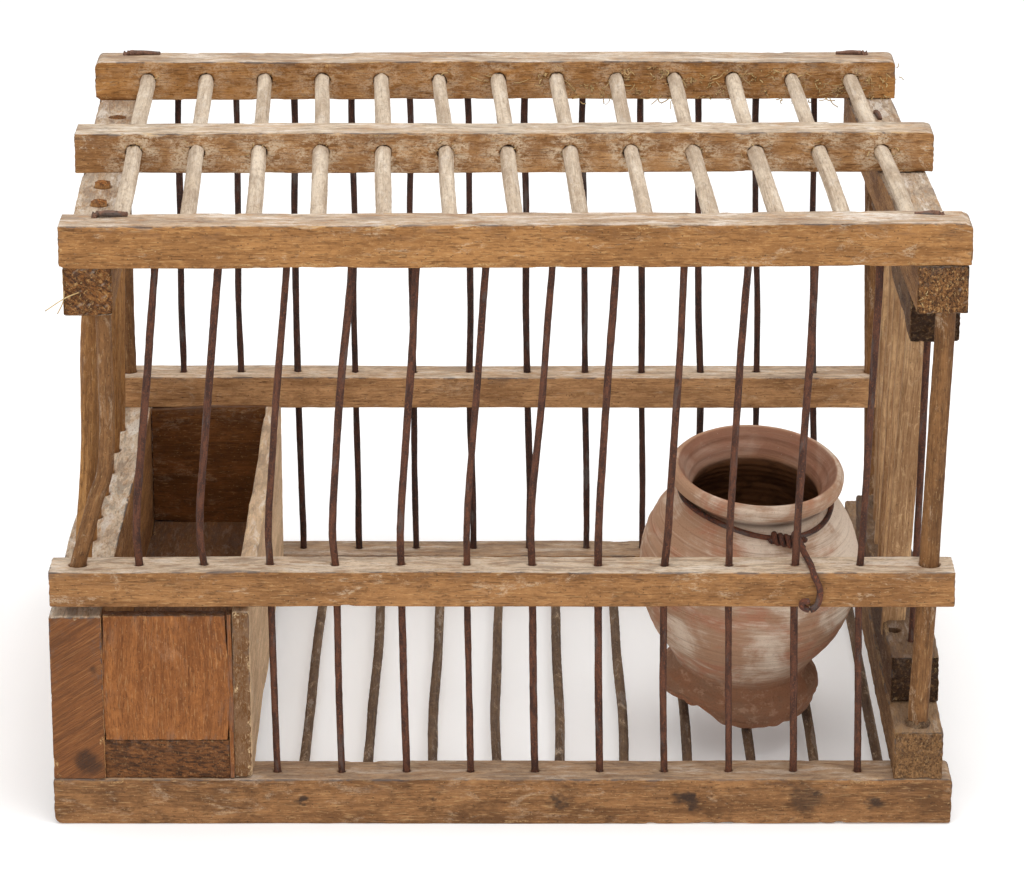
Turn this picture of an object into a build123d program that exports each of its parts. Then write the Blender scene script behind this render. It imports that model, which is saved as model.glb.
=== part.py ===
from build123d import *
import os
from math import cos, radians, sin, tan

# Rustic wooden bird cage: square wooden rails stacked like a log cabin, threaded with iron bars,
# wooden roof rods and floor rods, with a seed trough, a swinging slatted side gate and a clay water pot.
# Millimetres. X runs along the long rails, Y from front to back, Z up.
# The origin is on the ground, at the middle of the overall box.

# ---------------------------------------------------------------- driving dimensions
DEPTH = 474.0              # front face of the front rails to back face of the back rails
FRONT_Y = -234.5           # front face of the front rails
BACK_Y = FRONT_Y + DEPTH
EDGE = 1.5                 # worn edge radius on the rails

RAIL_DEEP = 31.0           # front-to-back thickness of the top and middle rails
BASE_DEEP = 34.0           # the same for the two bottom rails
BASE_TOP = 33.0            # top of the bottom rails
MID_LOW, MID_HIGH = 159.0, 184.0     # the front middle rail
MID_BACK_LOW, MID_BACK_HIGH = 153.0, 177.5
ROOF_LOW, ROOF_HIGH = 397.5, 426.5   # the three roof rails
ROOF_SKEW = 1.9            # degrees: the roof has racked, its back end towards -X

SIDE_WIDE = 33.0           # width of the two top side rails
SIDE_TOP_LEFT_LOW = 364.0
SIDE_TOP_RIGHT_LOW = 365.5
SIDE_X = 281.5             # middle of each top side rail at mid depth
SILL_X = (265.5, 299.5)    # right bottom side rail
SILL_TOP = 67.0

BARS = 12                  # iron bars in each grille
BAR_D = 5.0
BAR_PITCH_TOP, BAR_PITCH_LOW = 43.6, 44.2
BAR_START_TOP = -239.0     # first bar in the roof rails, before the skew
BAR_START_MID = {"front": -246.0, "back": -247.8}
BAR_START_LOW = {"front": -243.6, "back": -246.0}
BARS_OVER_TROUGH = 2       # the first bars end in the middle rail, above the trough
SOCKET = 12.0              # how far bars and dowels reach into a rail

ROOF_RODS = 13
ROOF_ROD_D = 11.2
ROOF_ROD_START, ROOF_ROD_PITCH = -261.8, 44.0
ROOF_ROD_Z = 412.0

FLOOR_RODS = 12
FLOOR_ROD_D = 7.2
FLOOR_ROD_START, FLOOR_ROD_PITCH = -228.6, 44.6
FLOOR_ROD_Z = 17.5

CORNER_D = 14.0            # corner dowels
FRONT_LEFT_CORNER_D = 11.0
BACK_LEFT_CORNER_D = 12.0

PLANK_X = (-307.5, -272.5)     # thick plank under the left sticks
PLANK_TOP = 152.5
LEFT_STICKS = 7
LEFT_STICK_D = 12.0
LEFT_STICK_FIRST_Y, LEFT_STICK_PITCH = 158.0, 48.4
LEFT_STICK_FOOT_X = -294.5
PROUD_STICKS = (4, 5)          # these two stand out above the top side rail
STICK_STANDS_OUT = 3.0

BOARD_X = (-183.8, -172.0)     # inner side board of the trough
BOARD_TOP = 155.0
BOARD_BACK_Y = 204.0
TROUGH_FLOOR = 61.0
TROUGH_WALL = 10.0
STRIP_WIDE = 3.0
JOINT_GAP = 0.5                # open joints between the trough's boards

HINGE_X, HINGE_Y = 284.0, 134.6
PIVOT_D = 10.0
PIVOT_CLEARANCE = 0.08
PIVOT_END_GAP = 0.3
PIVOT_SOCKET = 15.0
GATE_Y = (-180.5, 155.0)
GATE_LOW_X, GATE_LOW_Z = (267.0, 300.7), (67.6, 101.5)
GATE_HIGH_X, GATE_HIGH_Z = (273.4, 306.3), (330.0, 364.7)
GATE_SLATS = 5
SLAT_WIDE, SLAT_THICK = 16.0, 8.0
SLAT_FIRST_Y, SLAT_PITCH = 100.0, 51.5
SLAT_FOOT_X, SLAT_FOOT_STEP, SLAT_HEAD_X = 284.0, 2.5, 287.0
GATE_BAR_Y = -150.0
GATE_BAR_X = (283.3, 289.0)
EMPTY_HOLE_D, EMPTY_HOLE_X, EMPTY_HOLE_Y = 9.6, 273.0, -130.0

POT_HEIGHT = 187.0
POT_RIM_R, POT_NECK_R, POT_BODY_R = 61.0, 52.0, 77.0
POT_WAIST_R, POT_FOOT_R, POT_MOUTH_R = 46.5, 52.0, 46.5
POT_FLARE_R, POT_FLARE_H = 56.0, 13.0   # the foot is widest a little above its edge
POT_BODY_H, POT_WAIST_H, POT_NECK_H = 109.0, 30.0, 168.0
POT_WALL = 8.0
POT_LEAN, POT_TILT = 10.5, 3.0       # degrees towards the front, and to the right
POT_FOOT = (167.5, -69.4, 31.4)      # middle of the underside of the foot

WIRE_D = 4.0
NAIL_D = 4.0


# ---------------------------------------------------------------- helpers
def skewed(y):
    """Sideways shift of the racked roof at depth y."""
    return -tan(radians(ROOF_SKEW)) * y


def block(x, y, z, worn=EDGE):
    """Box between pairs of X, Y and Z limits, with worn edges."""
    size = (x[1] - x[0], y[1] - y[0], z[1] - z[0])
    middle = ((x[0] + x[1]) / 2, (y[0] + y[1]) / 2, (z[0] + z[1]) / 2)
    box = Box(*size)
    if worn:
        box = fillet(box.edges(), worn)
    return Pos(*middle) * box


def round_run(start, end, diameter):
    """Straight round bar from one point to another."""
    start, end = Vector(*start), Vector(*end)
    return Plane(start, z_dir=end - start) * Cylinder(
        diameter / 2, (end - start).length, align=(Align.CENTER, Align.CENTER, Align.MIN)
    )


def bent_bar(points, diameter):
    """Round bar through the points, with a ball at each bend."""
    bar = round_run(points[0], points[1], diameter)
    for bend, after in zip(points[1:], points[2:]):
        bar += Pos(*bend) * Sphere(diameter / 2)
        bar += round_run(bend, after, diameter)
    return bar


def drill(rail, *rods):
    """Rail with a snug hole for each rod that passes through it."""
    for rod in rods:
        rail -= rod
    return rail


# ---------------------------------------------------------------- bars, rods and sticks
FRONT_BAR_Y = FRONT_Y + RAIL_DEEP / 2
BACK_BAR_Y = BACK_Y - RAIL_DEEP / 2


def grille_bar(index, side):
    """Iron bar of one grille: down from a roof rail, through the middle rail to the bottom rail."""
    y = FRONT_BAR_Y if side == "front" else BACK_BAR_Y
    mid_z = (MID_LOW + MID_HIGH) / 2 if side == "front" else (MID_BACK_LOW + MID_BACK_HIGH) / 2
    top_x = BAR_START_TOP + skewed(y) + index * BAR_PITCH_TOP
    mid_x = BAR_START_MID[side] + index * BAR_PITCH_LOW
    low_x = BAR_START_LOW[side] + index * BAR_PITCH_LOW
    points = [(top_x, y, ROOF_LOW + SOCKET), (mid_x, y, mid_z)]
    if index >= BARS_OVER_TROUGH:
        points.append((low_x, y, BASE_TOP - SOCKET))
    return bent_bar(points, BAR_D)


def roof_rod(index):
    """Wooden rod through the middle roof rail, into the front and back ones."""
    front, back = FRONT_Y + SOCKET, BACK_Y - SOCKET
    x = ROOF_ROD_START + index * ROOF_ROD_PITCH
    return round_run(
        (x + skewed(front), front, ROOF_ROD_Z), (x + skewed(back), back, ROOF_ROD_Z), ROOF_ROD_D
    )


def floor_rod(index):
    """Floor rod between the two bottom rails."""
    x = FLOOR_ROD_START + index * FLOOR_ROD_PITCH
    front, back = FRONT_Y + BASE_DEEP - SOCKET, BACK_Y - BASE_DEEP + SOCKET
    return round_run((x, front, FLOOR_ROD_Z), (x, back, FLOOR_ROD_Z), FLOOR_ROD_D)


def left_stick(index):
    """Stick from the left plank up through the left top side rail."""
    y = LEFT_STICK_FIRST_Y - index * LEFT_STICK_PITCH
    head_x = -SIDE_X + skewed(y)
    head_z = ROOF_LOW + STICK_STANDS_OUT if index in PROUD_STICKS else ROOF_LOW - JOINT_GAP
    return round_run((LEFT_STICK_FOOT_X, y, PLANK_TOP - SOCKET), (head_x, y, head_z), LEFT_STICK_D)


front_bars = [grille_bar(i, "front") for i in range(BARS)]
back_bars = [grille_bar(i, "back") for i in range(BARS)]
roof_rods = [roof_rod(i) for i in range(ROOF_RODS)]
floor_rods = [floor_rod(i) for i in range(FLOOR_RODS)]
left_sticks = [left_stick(i) for i in range(LEFT_STICKS)]

# Corner dowels. The front left one is warped, and the two left ones end in the middle rails.
corner_front_right = round_run(
    (282.7, FRONT_BAR_Y, SILL_TOP - SOCKET), (292.9, FRONT_BAR_Y, SIDE_TOP_RIGHT_LOW + SOCKET), CORNER_D
)
corner_back_right = round_run(
    (286.5, BACK_BAR_Y, SILL_TOP - SOCKET), (279.5, BACK_BAR_Y, SIDE_TOP_RIGHT_LOW + SOCKET), CORNER_D
)
corner_front_left = bent_bar(
    [
        (-291.0, FRONT_BAR_Y, MID_HIGH - SOCKET),
        (-275.0, FRONT_BAR_Y, 229.0),
        (-266.5, FRONT_BAR_Y, 265.0),
        (-265.5, FRONT_BAR_Y, SIDE_TOP_LEFT_LOW + SOCKET),
    ],
    FRONT_LEFT_CORNER_D,
)
corner_back_left = round_run(
    (-290.0, BACK_BAR_Y, MID_BACK_HIGH - SOCKET),
    (-290.0, BACK_BAR_Y, SIDE_TOP_LEFT_LOW + SOCKET),
    BACK_LEFT_CORNER_D,
)


# ---------------------------------------------------------------- nails
def clinched_nail(x, y, reach):
    """Nail driven down through a roof rail, with its bent end lying along the rail's top."""
    top = ROOF_HIGH + NAIL_D / 2 - 0.5
    return bent_bar([(x, y, ROOF_LOW - SOCKET), (x, y, top), (x + reach, y, top)], NAIL_D)


FRONT_NAIL_Y = FRONT_Y + 22.0
BACK_NAIL_Y = BACK_Y - 9.0
side_rail_nail = bent_bar(
    [(276.0, 168.0, ROOF_LOW - 25.0), (276.0, 168.0, ROOF_LOW + 1.5), (279.5, 150.0, ROOF_LOW + 1.5)], NAIL_D
)
nails = [
    clinched_nail(-270.0, FRONT_NAIL_Y, 22.0),
    clinched_nail(-286.0, BACK_NAIL_Y, 26.0),
    clinched_nail(289.0, FRONT_NAIL_Y, -18.0),
    clinched_nail(272.0, BACK_NAIL_Y, -22.0),
    side_rail_nail,
]


# ---------------------------------------------------------------- long rails
def long_rail(x, front, deep, z, *rods):
    return drill(block(x, (front, front + deep), z), *rods)


top_front_rail = long_rail(
    (-292.5, 308.0), FRONT_Y, RAIL_DEEP, (ROOF_LOW, ROOF_HIGH), *front_bars, *roof_rods, nails[0], nails[2]
)
top_middle_rail = long_rail((-303.5, 303.5), 0.5, 29.0, (ROOF_LOW, ROOF_HIGH), *roof_rods)
top_back_rail = long_rail(
    (-307.5, 293.5), BACK_Y - RAIL_DEEP, RAIL_DEEP, (ROOF_LOW, ROOF_HIGH),
    *back_bars, *roof_rods, nails[1], nails[3],
)
mid_front_rail = long_rail(
    (-306.5, 304.0), FRONT_Y, RAIL_DEEP, (MID_LOW, MID_HIGH), *front_bars, corner_front_right, corner_front_left
)
mid_back_rail = long_rail(
    (-304.0, 295.0), BACK_Y - RAIL_DEEP, RAIL_DEEP, (MID_BACK_LOW, MID_BACK_HIGH),
    *back_bars, corner_back_right, corner_back_left,
)
bottom_front_rail = long_rail(
    (-308.0, 306.5), FRONT_Y, BASE_DEEP, (0, BASE_TOP), *front_bars[BARS_OVER_TROUGH:], *floor_rods
)
bottom_back_rail = long_rail(
    (-306.0, 304.0), BACK_Y - BASE_DEEP, BASE_DEEP, (0, BASE_TOP), *back_bars[BARS_OVER_TROUGH:], *floor_rods
)


# ---------------------------------------------------------------- side rails and plank
def top_side_rail(x, low, *rods):
    """Rail under the ends of the roof rails, turned with the racked roof."""
    half = SIDE_WIDE / 2
    rail = block((-half, half), (FRONT_Y + 1.0, BACK_Y - 1.0), (low, ROOF_LOW))
    return drill(Pos(x, 0, 0) * Rot(0, 0, ROOF_SKEW) * rail, *rods)


pivot_hole = round_run(
    (HINGE_X, HINGE_Y, SILL_TOP - PIVOT_SOCKET),
    (HINGE_X, HINGE_Y, SIDE_TOP_RIGHT_LOW + PIVOT_SOCKET),
    PIVOT_D + 2 * PIVOT_CLEARANCE,
)
top_side_rail_left = top_side_rail(
    -SIDE_X, SIDE_TOP_LEFT_LOW, *left_sticks, corner_front_left, corner_back_left, nails[0], nails[1]
)
top_side_rail_right = top_side_rail(
    SIDE_X, SIDE_TOP_RIGHT_LOW, pivot_hole, corner_front_right, corner_back_right, *nails[2:]
)
bottom_side_rail_right = drill(
    block(SILL_X, (FRONT_Y, BACK_Y), (BASE_TOP, SILL_TOP)), pivot_hole, corner_front_right, corner_back_right
)
left_plank = drill(block(PLANK_X, (FRONT_Y, BACK_Y), (BASE_TOP, PLANK_TOP)), *left_sticks)

# ---------------------------------------------------------------- seed trough
TROUGH_FRONT = FRONT_Y + 2.5
LEFT_X = PLANK_X[1] + JOINT_GAP
STRIP_X = (BOARD_X[0] - STRIP_WIDE - 0.2, BOARD_X[0] - 0.2)
trough_bottom_board = block((LEFT_X, STRIP_X[0]), (TROUGH_FRONT, BACK_Y - 2.0), (BASE_TOP, TROUGH_FLOOR), 1.0)
trough_front_panel = block(
    (LEFT_X, STRIP_X[0] - JOINT_GAP), (TROUGH_FRONT, TROUGH_FRONT + TROUGH_WALL), (TROUGH_FLOOR, 152.0), 0.8
)
trough_edge_strip = block(STRIP_X, (TROUGH_FRONT, TROUGH_FRONT + TROUGH_WALL), (BASE_TOP, 153.0), 0.5)
trough_inner_board = block(BOARD_X, (TROUGH_FRONT, BOARD_BACK_Y), (BASE_TOP, BOARD_TOP), 1.0)
trough_back_panel = block(
    (LEFT_X, BOARD_X[0]), (BOARD_BACK_Y + JOINT_GAP, BOARD_BACK_Y + TROUGH_WALL), (TROUGH_FLOOR, 152.5), 0.8
)


# ---------------------------------------------------------------- side gate
def gate_slat(index):
    """Flat slat between the gate's two rails, leaning a little with the cage."""
    y = SLAT_FIRST_Y - index * SLAT_PITCH
    foot = (SLAT_FOOT_X - index * SLAT_FOOT_STEP, y, GATE_LOW_Z[1] - SOCKET)
    head = (SLAT_HEAD_X, y, GATE_HIGH_Z[0] + SOCKET)
    return loft([Pos(*end) * Rectangle(SLAT_WIDE, SLAT_THICK) for end in (foot, head)])


gate_slats = [gate_slat(i) for i in range(GATE_SLATS)]
gate_pivot = round_run(
    (HINGE_X, HINGE_Y, SILL_TOP - PIVOT_SOCKET + PIVOT_END_GAP),
    (HINGE_X, HINGE_Y, SIDE_TOP_RIGHT_LOW + PIVOT_SOCKET - PIVOT_END_GAP),
    PIVOT_D,
)
gate_bar = round_run(
    (GATE_BAR_X[0], GATE_BAR_Y, GATE_LOW_Z[1] - SOCKET), (GATE_BAR_X[1], GATE_BAR_Y, GATE_HIGH_Z[0] + SOCKET),
    BAR_D,
)
empty_hole = round_run(
    (EMPTY_HOLE_X, EMPTY_HOLE_Y, GATE_LOW_Z[1] - SOCKET), (EMPTY_HOLE_X, EMPTY_HOLE_Y, GATE_LOW_Z[1] + SOCKET),
    EMPTY_HOLE_D,
)
gate_lower_rail = drill(block(GATE_LOW_X, GATE_Y, GATE_LOW_Z), *gate_slats, gate_pivot, gate_bar, empty_hole)
gate_upper_rail = drill(block(GATE_HIGH_X, GATE_Y, GATE_HIGH_Z), *gate_slats, gate_pivot, gate_bar)


# ---------------------------------------------------------------- water pot and its wire
def upright_pot():
    """Thrown pot standing on its foot at the origin, before it leans."""
    with BuildPart() as pot:
        with BuildSketch(Plane.XZ):
            with BuildLine():
                outside = Spline(
                    (POT_FOOT_R, 0), (POT_FLARE_R, POT_FLARE_H), (POT_WAIST_R, POT_WAIST_H),
                    (POT_BODY_R - 10, 64), (POT_BODY_R, POT_BODY_H), (POT_BODY_R - 8, 141),
                    (POT_NECK_R + 6, POT_NECK_H - 8), (POT_NECK_R, POT_NECK_H),
                )
                lip = Spline(
                    outside @ 1, (POT_NECK_R + 3, POT_NECK_H + 5), (POT_RIM_R, POT_NECK_H + 12),
                    (POT_RIM_R - 3, POT_HEIGHT), (POT_MOUTH_R + 5, POT_HEIGHT - 6),
                    (POT_MOUTH_R, POT_HEIGHT - 14),
                )
                inside = Spline(
                    lip @ 1, (POT_NECK_R - POT_WALL, POT_NECK_H), (POT_BODY_R - POT_WALL, POT_BODY_H),
                    (POT_BODY_R - 10 - POT_WALL, 64), (POT_WAIST_R - 12, POT_WAIST_H + 10),
                    (0, POT_WAIST_H + 4),
                )
                axis_line = Line(inside @ 1, (0, POT_WAIST_H - 12))
                hollow_foot = Line(axis_line @ 1, (POT_WAIST_R - 10, POT_WAIST_H - 14))
                foot_inside = Line(hollow_foot @ 1, (POT_FOOT_R - 9, 0))
                Line(foot_inside @ 1, (POT_FOOT_R, 0))
            make_face()
        revolve(axis=Axis.Z)
    return pot.part


pot_place = Pos(*POT_FOOT) * Rot(POT_LEAN, POT_TILT, 0)
clay_pot = pot_place * upright_pot()


def on_pot(angle, radius, height):
    """Point around the leaning pot: angle in degrees from +X towards +Y, height up its own axis."""
    spot = pot_place * Pos(radius * cos(radians(angle)), radius * sin(radians(angle)), height)
    return tuple(spot.position)


WIRE_RING_R = POT_NECK_R + WIRE_D / 2 + 1.5
HOOK_X = 204.5
HOOK_TOP = MID_HIGH + WIRE_D / 2 + 0.6
HOOK_FRONT = FRONT_Y - WIRE_D / 2 - 1.0
neck_ring = pot_place * Pos(0, 0, POT_NECK_H) * Torus(WIRE_RING_R, WIRE_D / 2)
wire_hook = bent_bar(
    [
        on_pot(-62, WIRE_RING_R, POT_NECK_H),
        on_pot(-64, POT_BODY_R - 2, POT_NECK_H - 14),
        (HOOK_X + 2, FRONT_Y + RAIL_DEEP + 4, HOOK_TOP + 1),
        (HOOK_X, FRONT_Y + 3, HOOK_TOP),
        (HOOK_X + 1, HOOK_FRONT, HOOK_TOP - 1),
        (HOOK_X + 9, HOOK_FRONT, MID_HIGH - 12),
        (HOOK_X + 8, HOOK_FRONT, MID_HIGH - 22),
        (HOOK_X + 1, HOOK_FRONT, MID_HIGH - 25),
    ],
    WIRE_D,
)
pot_wire = neck_ring + wire_hook

# ---------------------------------------------------------------- export
nodes = {
    "top_front_rail": top_front_rail,
    "top_middle_rail": top_middle_rail,
    "top_back_rail": top_back_rail,
    "mid_front_rail": mid_front_rail,
    "mid_back_rail": mid_back_rail,
    "bottom_front_rail": bottom_front_rail,
    "bottom_back_rail": bottom_back_rail,
    "top_side_rail_left": top_side_rail_left,
    "top_side_rail_right": top_side_rail_right,
    "bottom_side_rail_right": bottom_side_rail_right,
    "left_plank": left_plank,
    "corner_dowel_front_right": corner_front_right,
    "corner_dowel_back_right": corner_back_right,
    "corner_dowel_front_left": corner_front_left,
    "corner_dowel_back_left": corner_back_left,
    "trough_bottom_board": trough_bottom_board,
    "trough_front_panel": trough_front_panel,
    "trough_edge_strip": trough_edge_strip,
    "trough_inner_board": trough_inner_board,
    "trough_back_panel": trough_back_panel,
    "gate_lower_rail": gate_lower_rail,
    "gate_upper_rail": gate_upper_rail,
    "gate_pivot_stick": gate_pivot,
    "gate_iron_bar": gate_bar,
    "gate_slats": Compound(children=gate_slats),
    "back_bars": Compound(children=back_bars),
    "floor_rods": Compound(children=floor_rods),
    "left_sticks": Compound(children=left_sticks),
    "nails": Compound(children=nails),
    "clay_pot": clay_pot,
    "pot_wire": pot_wire,
}
for number, bar in enumerate(front_bars, start=1):
    nodes[f"front_bar_{number:02d}"] = bar
for number, rod in enumerate(roof_rods, start=1):
    nodes[f"roof_rod_{number:02d}"] = rod

os.makedirs("parts", exist_ok=True)
for node, shape in nodes.items():
    export_step(shape, f"parts/{node}.step")
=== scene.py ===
"""Looks of the rustic bird cage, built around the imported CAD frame.

Every wooden, iron and clay piece is a worn mesh that stands for its CAD node. Shapes are worked out in
millimetres in numpy and written to Blender in metres. "Own" coordinates have X along a piece's grain.
"""

from itertools import product
from math import atan2, cos, pi, radians, sin

import bpy
import numpy as np
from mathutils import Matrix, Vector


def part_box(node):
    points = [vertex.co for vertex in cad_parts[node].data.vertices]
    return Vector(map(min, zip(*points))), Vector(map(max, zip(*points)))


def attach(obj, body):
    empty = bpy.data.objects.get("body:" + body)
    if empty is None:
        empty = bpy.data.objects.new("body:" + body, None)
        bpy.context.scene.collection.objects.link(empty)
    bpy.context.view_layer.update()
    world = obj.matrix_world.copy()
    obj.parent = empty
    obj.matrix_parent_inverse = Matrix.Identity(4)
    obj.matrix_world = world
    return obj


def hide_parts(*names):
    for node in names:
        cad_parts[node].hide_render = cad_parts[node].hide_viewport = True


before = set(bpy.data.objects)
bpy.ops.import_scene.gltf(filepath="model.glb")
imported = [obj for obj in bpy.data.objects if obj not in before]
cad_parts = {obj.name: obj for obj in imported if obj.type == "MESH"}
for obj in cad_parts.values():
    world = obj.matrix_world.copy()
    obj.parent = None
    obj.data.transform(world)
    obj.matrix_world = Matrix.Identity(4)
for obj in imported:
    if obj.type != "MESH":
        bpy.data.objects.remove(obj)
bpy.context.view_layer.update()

MM = 0.001
X, Y, Z = np.eye(3)


# ---------------- repeatable noise
def lattice(corner, seed):
    """Random numbers from 0 to 1, one for each row of whole numbers."""
    mixed = corner[:, 0] * 374761393 + corner[:, 1] * 668265263 + corner[:, 2] * 1103515245
    mixed = (mixed + seed * 974634777) & 0xFFFFFFFF
    mixed = ((mixed ^ (mixed >> 13)) * 1274126177) & 0xFFFFFFFF
    return ((mixed ^ (mixed >> 16)) & 0xFFFFFF) / 0xFFFFFF


def noise(points, cell, seed=0):
    """Smooth noise from -1 to 1, with features the size of cell (one length, or one for each axis)."""
    scaled = points / np.asarray(cell, float)
    low = np.floor(scaled).astype(np.int64)
    part = scaled - low
    part = part * part * (3 - 2 * part)
    total = np.zeros(len(points))
    for corner in product((0, 1), repeat=3):
        weight = np.prod(np.where(corner, part, 1 - part), axis=1)
        total += weight * lattice(low + np.array(corner), seed)
    return total * 2 - 1


def rough(points, cell, seed=0, octaves=3):
    """Noise with finer and finer detail on top."""
    cell = np.asarray(cell, float)
    layers = [noise(points, cell / 2**k, seed + 17 * k) * 0.5**k for k in range(octaves)]
    return sum(layers) / (2 - 0.5 ** (octaves - 1))


def step(low, high, value):
    """0 below low, 1 above high, smooth between."""
    t = np.clip((value - low) / (high - low), 0, 1)
    return t * t * (3 - 2 * t)


def unit(vectors):
    return vectors / np.maximum(np.linalg.norm(vectors, axis=-1, keepdims=True), 1e-9)


# ---------------- reading the frame
def box_mm(node):
    """Lowest and highest corners of a CAD node, in millimetres."""
    low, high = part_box(node)
    return np.array(low) / MM, np.array(high) / MM


def mesh_mm(node):
    """Mesh of a CAD node, and its points in millimetres."""
    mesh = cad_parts[node].data
    return mesh, np.array([v.co for v in mesh.vertices]) / MM


def loose_parts(node):
    """Points of each separate solid of a CAD node, in millimetres, from left to right."""
    mesh, points = mesh_mm(node)
    same = np.unique(np.round(points, 2), axis=0, return_inverse=True)[1].ravel()
    label = np.arange(same.max() + 1)
    edges = np.array([e.vertices for e in mesh.edges])
    a, b = same[edges[:, 0]], same[edges[:, 1]]
    while True:
        before = label.copy()
        least = np.minimum(label[a], label[b])
        np.minimum.at(label, a, least)
        np.minimum.at(label, b, least)
        label = label[label]
        if (label == before).all():
            break
    owner = label[same]
    parts = [points[owner == k] for k in np.unique(owner)]
    return sorted(parts, key=lambda p: tuple(np.round(p.mean(0), 1)))


def centre_line(points, axis, gap=4.5):
    """Middle of each ring of a bar's points, from one end to the other along an axis."""
    points = points[np.argsort(points[:, axis])]
    breaks = np.where(np.diff(points[:, axis]) > gap)[0] + 1
    return np.array([(ring.min(0) + ring.max(0)) / 2 for ring in np.split(points, breaks)])


def bar_lines(node, axis, gap=4.5):
    return [centre_line(part, axis, gap) for part in loose_parts(node)]


def turning_axis(node):
    """Middle of the foot and direction of the axis that a round CAD node was turned about."""
    mesh, points = mesh_mm(node)
    mesh.calc_loop_triangles()
    corners = points[np.array([t.vertices for t in mesh.loop_triangles])]
    area = np.linalg.norm(np.cross(corners[:, 1] - corners[:, 0], corners[:, 2] - corners[:, 0]), axis=1)
    middle = corners.mean(1)
    centre = (middle * area[:, None]).sum(0) / area.sum()
    spread = ((middle - centre) * area[:, None]).T @ (middle - centre)
    size, direction = np.linalg.eigh(spread)
    odd = 0 if size[1] - size[0] > size[2] - size[1] else 2
    up = direction[:, odd] * np.sign(direction[2, odd])
    return centre + up * ((points - centre) @ up).min(), up


# ---------------- meshes with paint
PAINTS = ("edge", "near", "end", "stain_and_shade", "pale", "bloom", "dust")


class Shape:
    """Points, faces and painted values of one closed surface, in millimetres."""

    def __init__(self, points, quads, triangles=None, **paint):
        self.points, self.quads, self.paint = points, quads, paint
        self.triangles = np.zeros((0, 3), int) if triangles is None else triangles

    def normals(self):
        corners = self.points[self.quads]
        flat = np.cross(corners[:, 2] - corners[:, 0], corners[:, 3] - corners[:, 1])
        total = np.zeros_like(self.points)
        for k in range(4):
            np.add.at(total, self.quads[:, k], flat)
        return unit(total)

    def brush(self, paint, value):
        """Adds paint where it is stronger than what is there."""
        before = self.paint.get(paint, 0.0)
        self.paint[paint] = np.maximum(before, value)
        return self

    def settle_dust(self, amount=1.0, seed=3):
        """Settles pale dust on what faces up."""
        facing = step(0.35, 0.85, self.normals()[:, 2])
        patchy = 0.8 + 0.3 * rough(self.points, (40, 25, 25), seed)
        return self.brush("dust", np.clip(facing * patchy * amount, 0, 1))


def placed(name, data):
    """New object in the scene."""
    thing = bpy.data.objects.new(name, data)
    bpy.context.scene.collection.objects.link(thing)
    return thing


def build(name, shapes, material, body, stands_for=()):
    """One Blender piece from shapes, riding on a body in place of CAD nodes."""
    points = np.concatenate([s.points for s in shapes])
    first = np.cumsum([0] + [len(s.points) for s in shapes[:-1]])
    quads = np.concatenate([s.quads + k for s, k in zip(shapes, first)])
    triangles = np.concatenate([s.triangles + k for s, k in zip(shapes, first)])
    mesh = bpy.data.meshes.new(name)
    mesh.vertices.add(len(points))
    mesh.vertices.foreach_set("co", (points * MM).astype(np.float32).ravel())
    mesh.loops.add(quads.size + triangles.size)
    mesh.loops.foreach_set("vertex_index", np.concatenate([quads.ravel(), triangles.ravel()]))
    mesh.polygons.add(len(quads) + len(triangles))
    starts = np.concatenate([np.arange(len(quads)) * 4, quads.size + np.arange(len(triangles)) * 3])
    mesh.polygons.foreach_set("loop_start", starts)
    mesh.update(calc_edges=True)
    mesh.validate()
    mesh.polygons.foreach_set("use_smooth", np.ones(len(mesh.polygons), bool))
    grain = np.concatenate([s.paint["grain"] for s in shapes]).astype(np.float32)
    mesh.attributes.new("grain", "FLOAT_VECTOR", "POINT").data.foreach_set("vector", grain.ravel())
    for paint in PAINTS:
        values = [s.paint.get(paint, 0.0) * np.ones(len(s.points)) for s in shapes]
        layer = mesh.attributes.new(paint, "FLOAT", "POINT")
        layer.data.foreach_set("value", np.clip(np.concatenate(values), 0, 1).astype(np.float32))
    mesh.materials.append(material)
    piece = placed(name, mesh)
    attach(piece, body)
    if stands_for:
        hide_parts(*stands_for)
    return piece


# ---------------- sawn wood
EDGE_CUTS = np.array([0, 0.4, 0.8, 1.3, 1.9, 2.7, 3.7])    # distances from an edge
FINE = 0.75                                                # mesh spacing round holes


def cuts(length, spacing, bands):
    """Places across one side of a block: close together near its edges and in the bands."""
    edge = EDGE_CUTS * min(1.0, 0.3 * length / EDGE_CUTS[-1])
    inside = length / 2 - edge[-1]
    place = np.linspace(-inside, inside, max(3, int(inside / 0.1)))
    density = np.full(len(place), 1 / spacing)
    for low, high in bands:
        density[(place > low) & (place < high)] = 1 / min(FINE, spacing)
    along = np.concatenate([[0], np.cumsum((density[1:] + density[:-1]) / 2 * np.diff(place))])
    middle = np.interp(np.linspace(0, along[-1], max(2, round(along[-1]) + 1)), along, place)
    return np.concatenate([edge[:-1] - length / 2, middle, length / 2 - edge[-2::-1]])


def block_surface(size, spacing, bands):
    """Points and quads of a box's surface, each point once."""
    sides = [cuts(length, spacing, band) for length, band in zip(size, bands)]
    shell = np.ones([len(s) for s in sides], bool)
    shell[1:-1, 1:-1, 1:-1] = False
    number = np.full(shell.shape, -1)
    number[shell] = np.arange(shell.sum())
    points = np.stack(np.meshgrid(*sides, indexing="ij"), -1)[shell]
    quads = []
    for axis in range(3):
        for end in (0, -1):
            face = np.take(number, end, axis)
            loop = np.stack([face[:-1, :-1], face[1:, :-1], face[1:, 1:], face[:-1, 1:]], -1).reshape(-1, 4)
            inward = (end == 0) != (axis == 1)
            quads.append(loop[:, ::-1] if inward else loop)
    return points, np.concatenate(quads)


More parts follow.
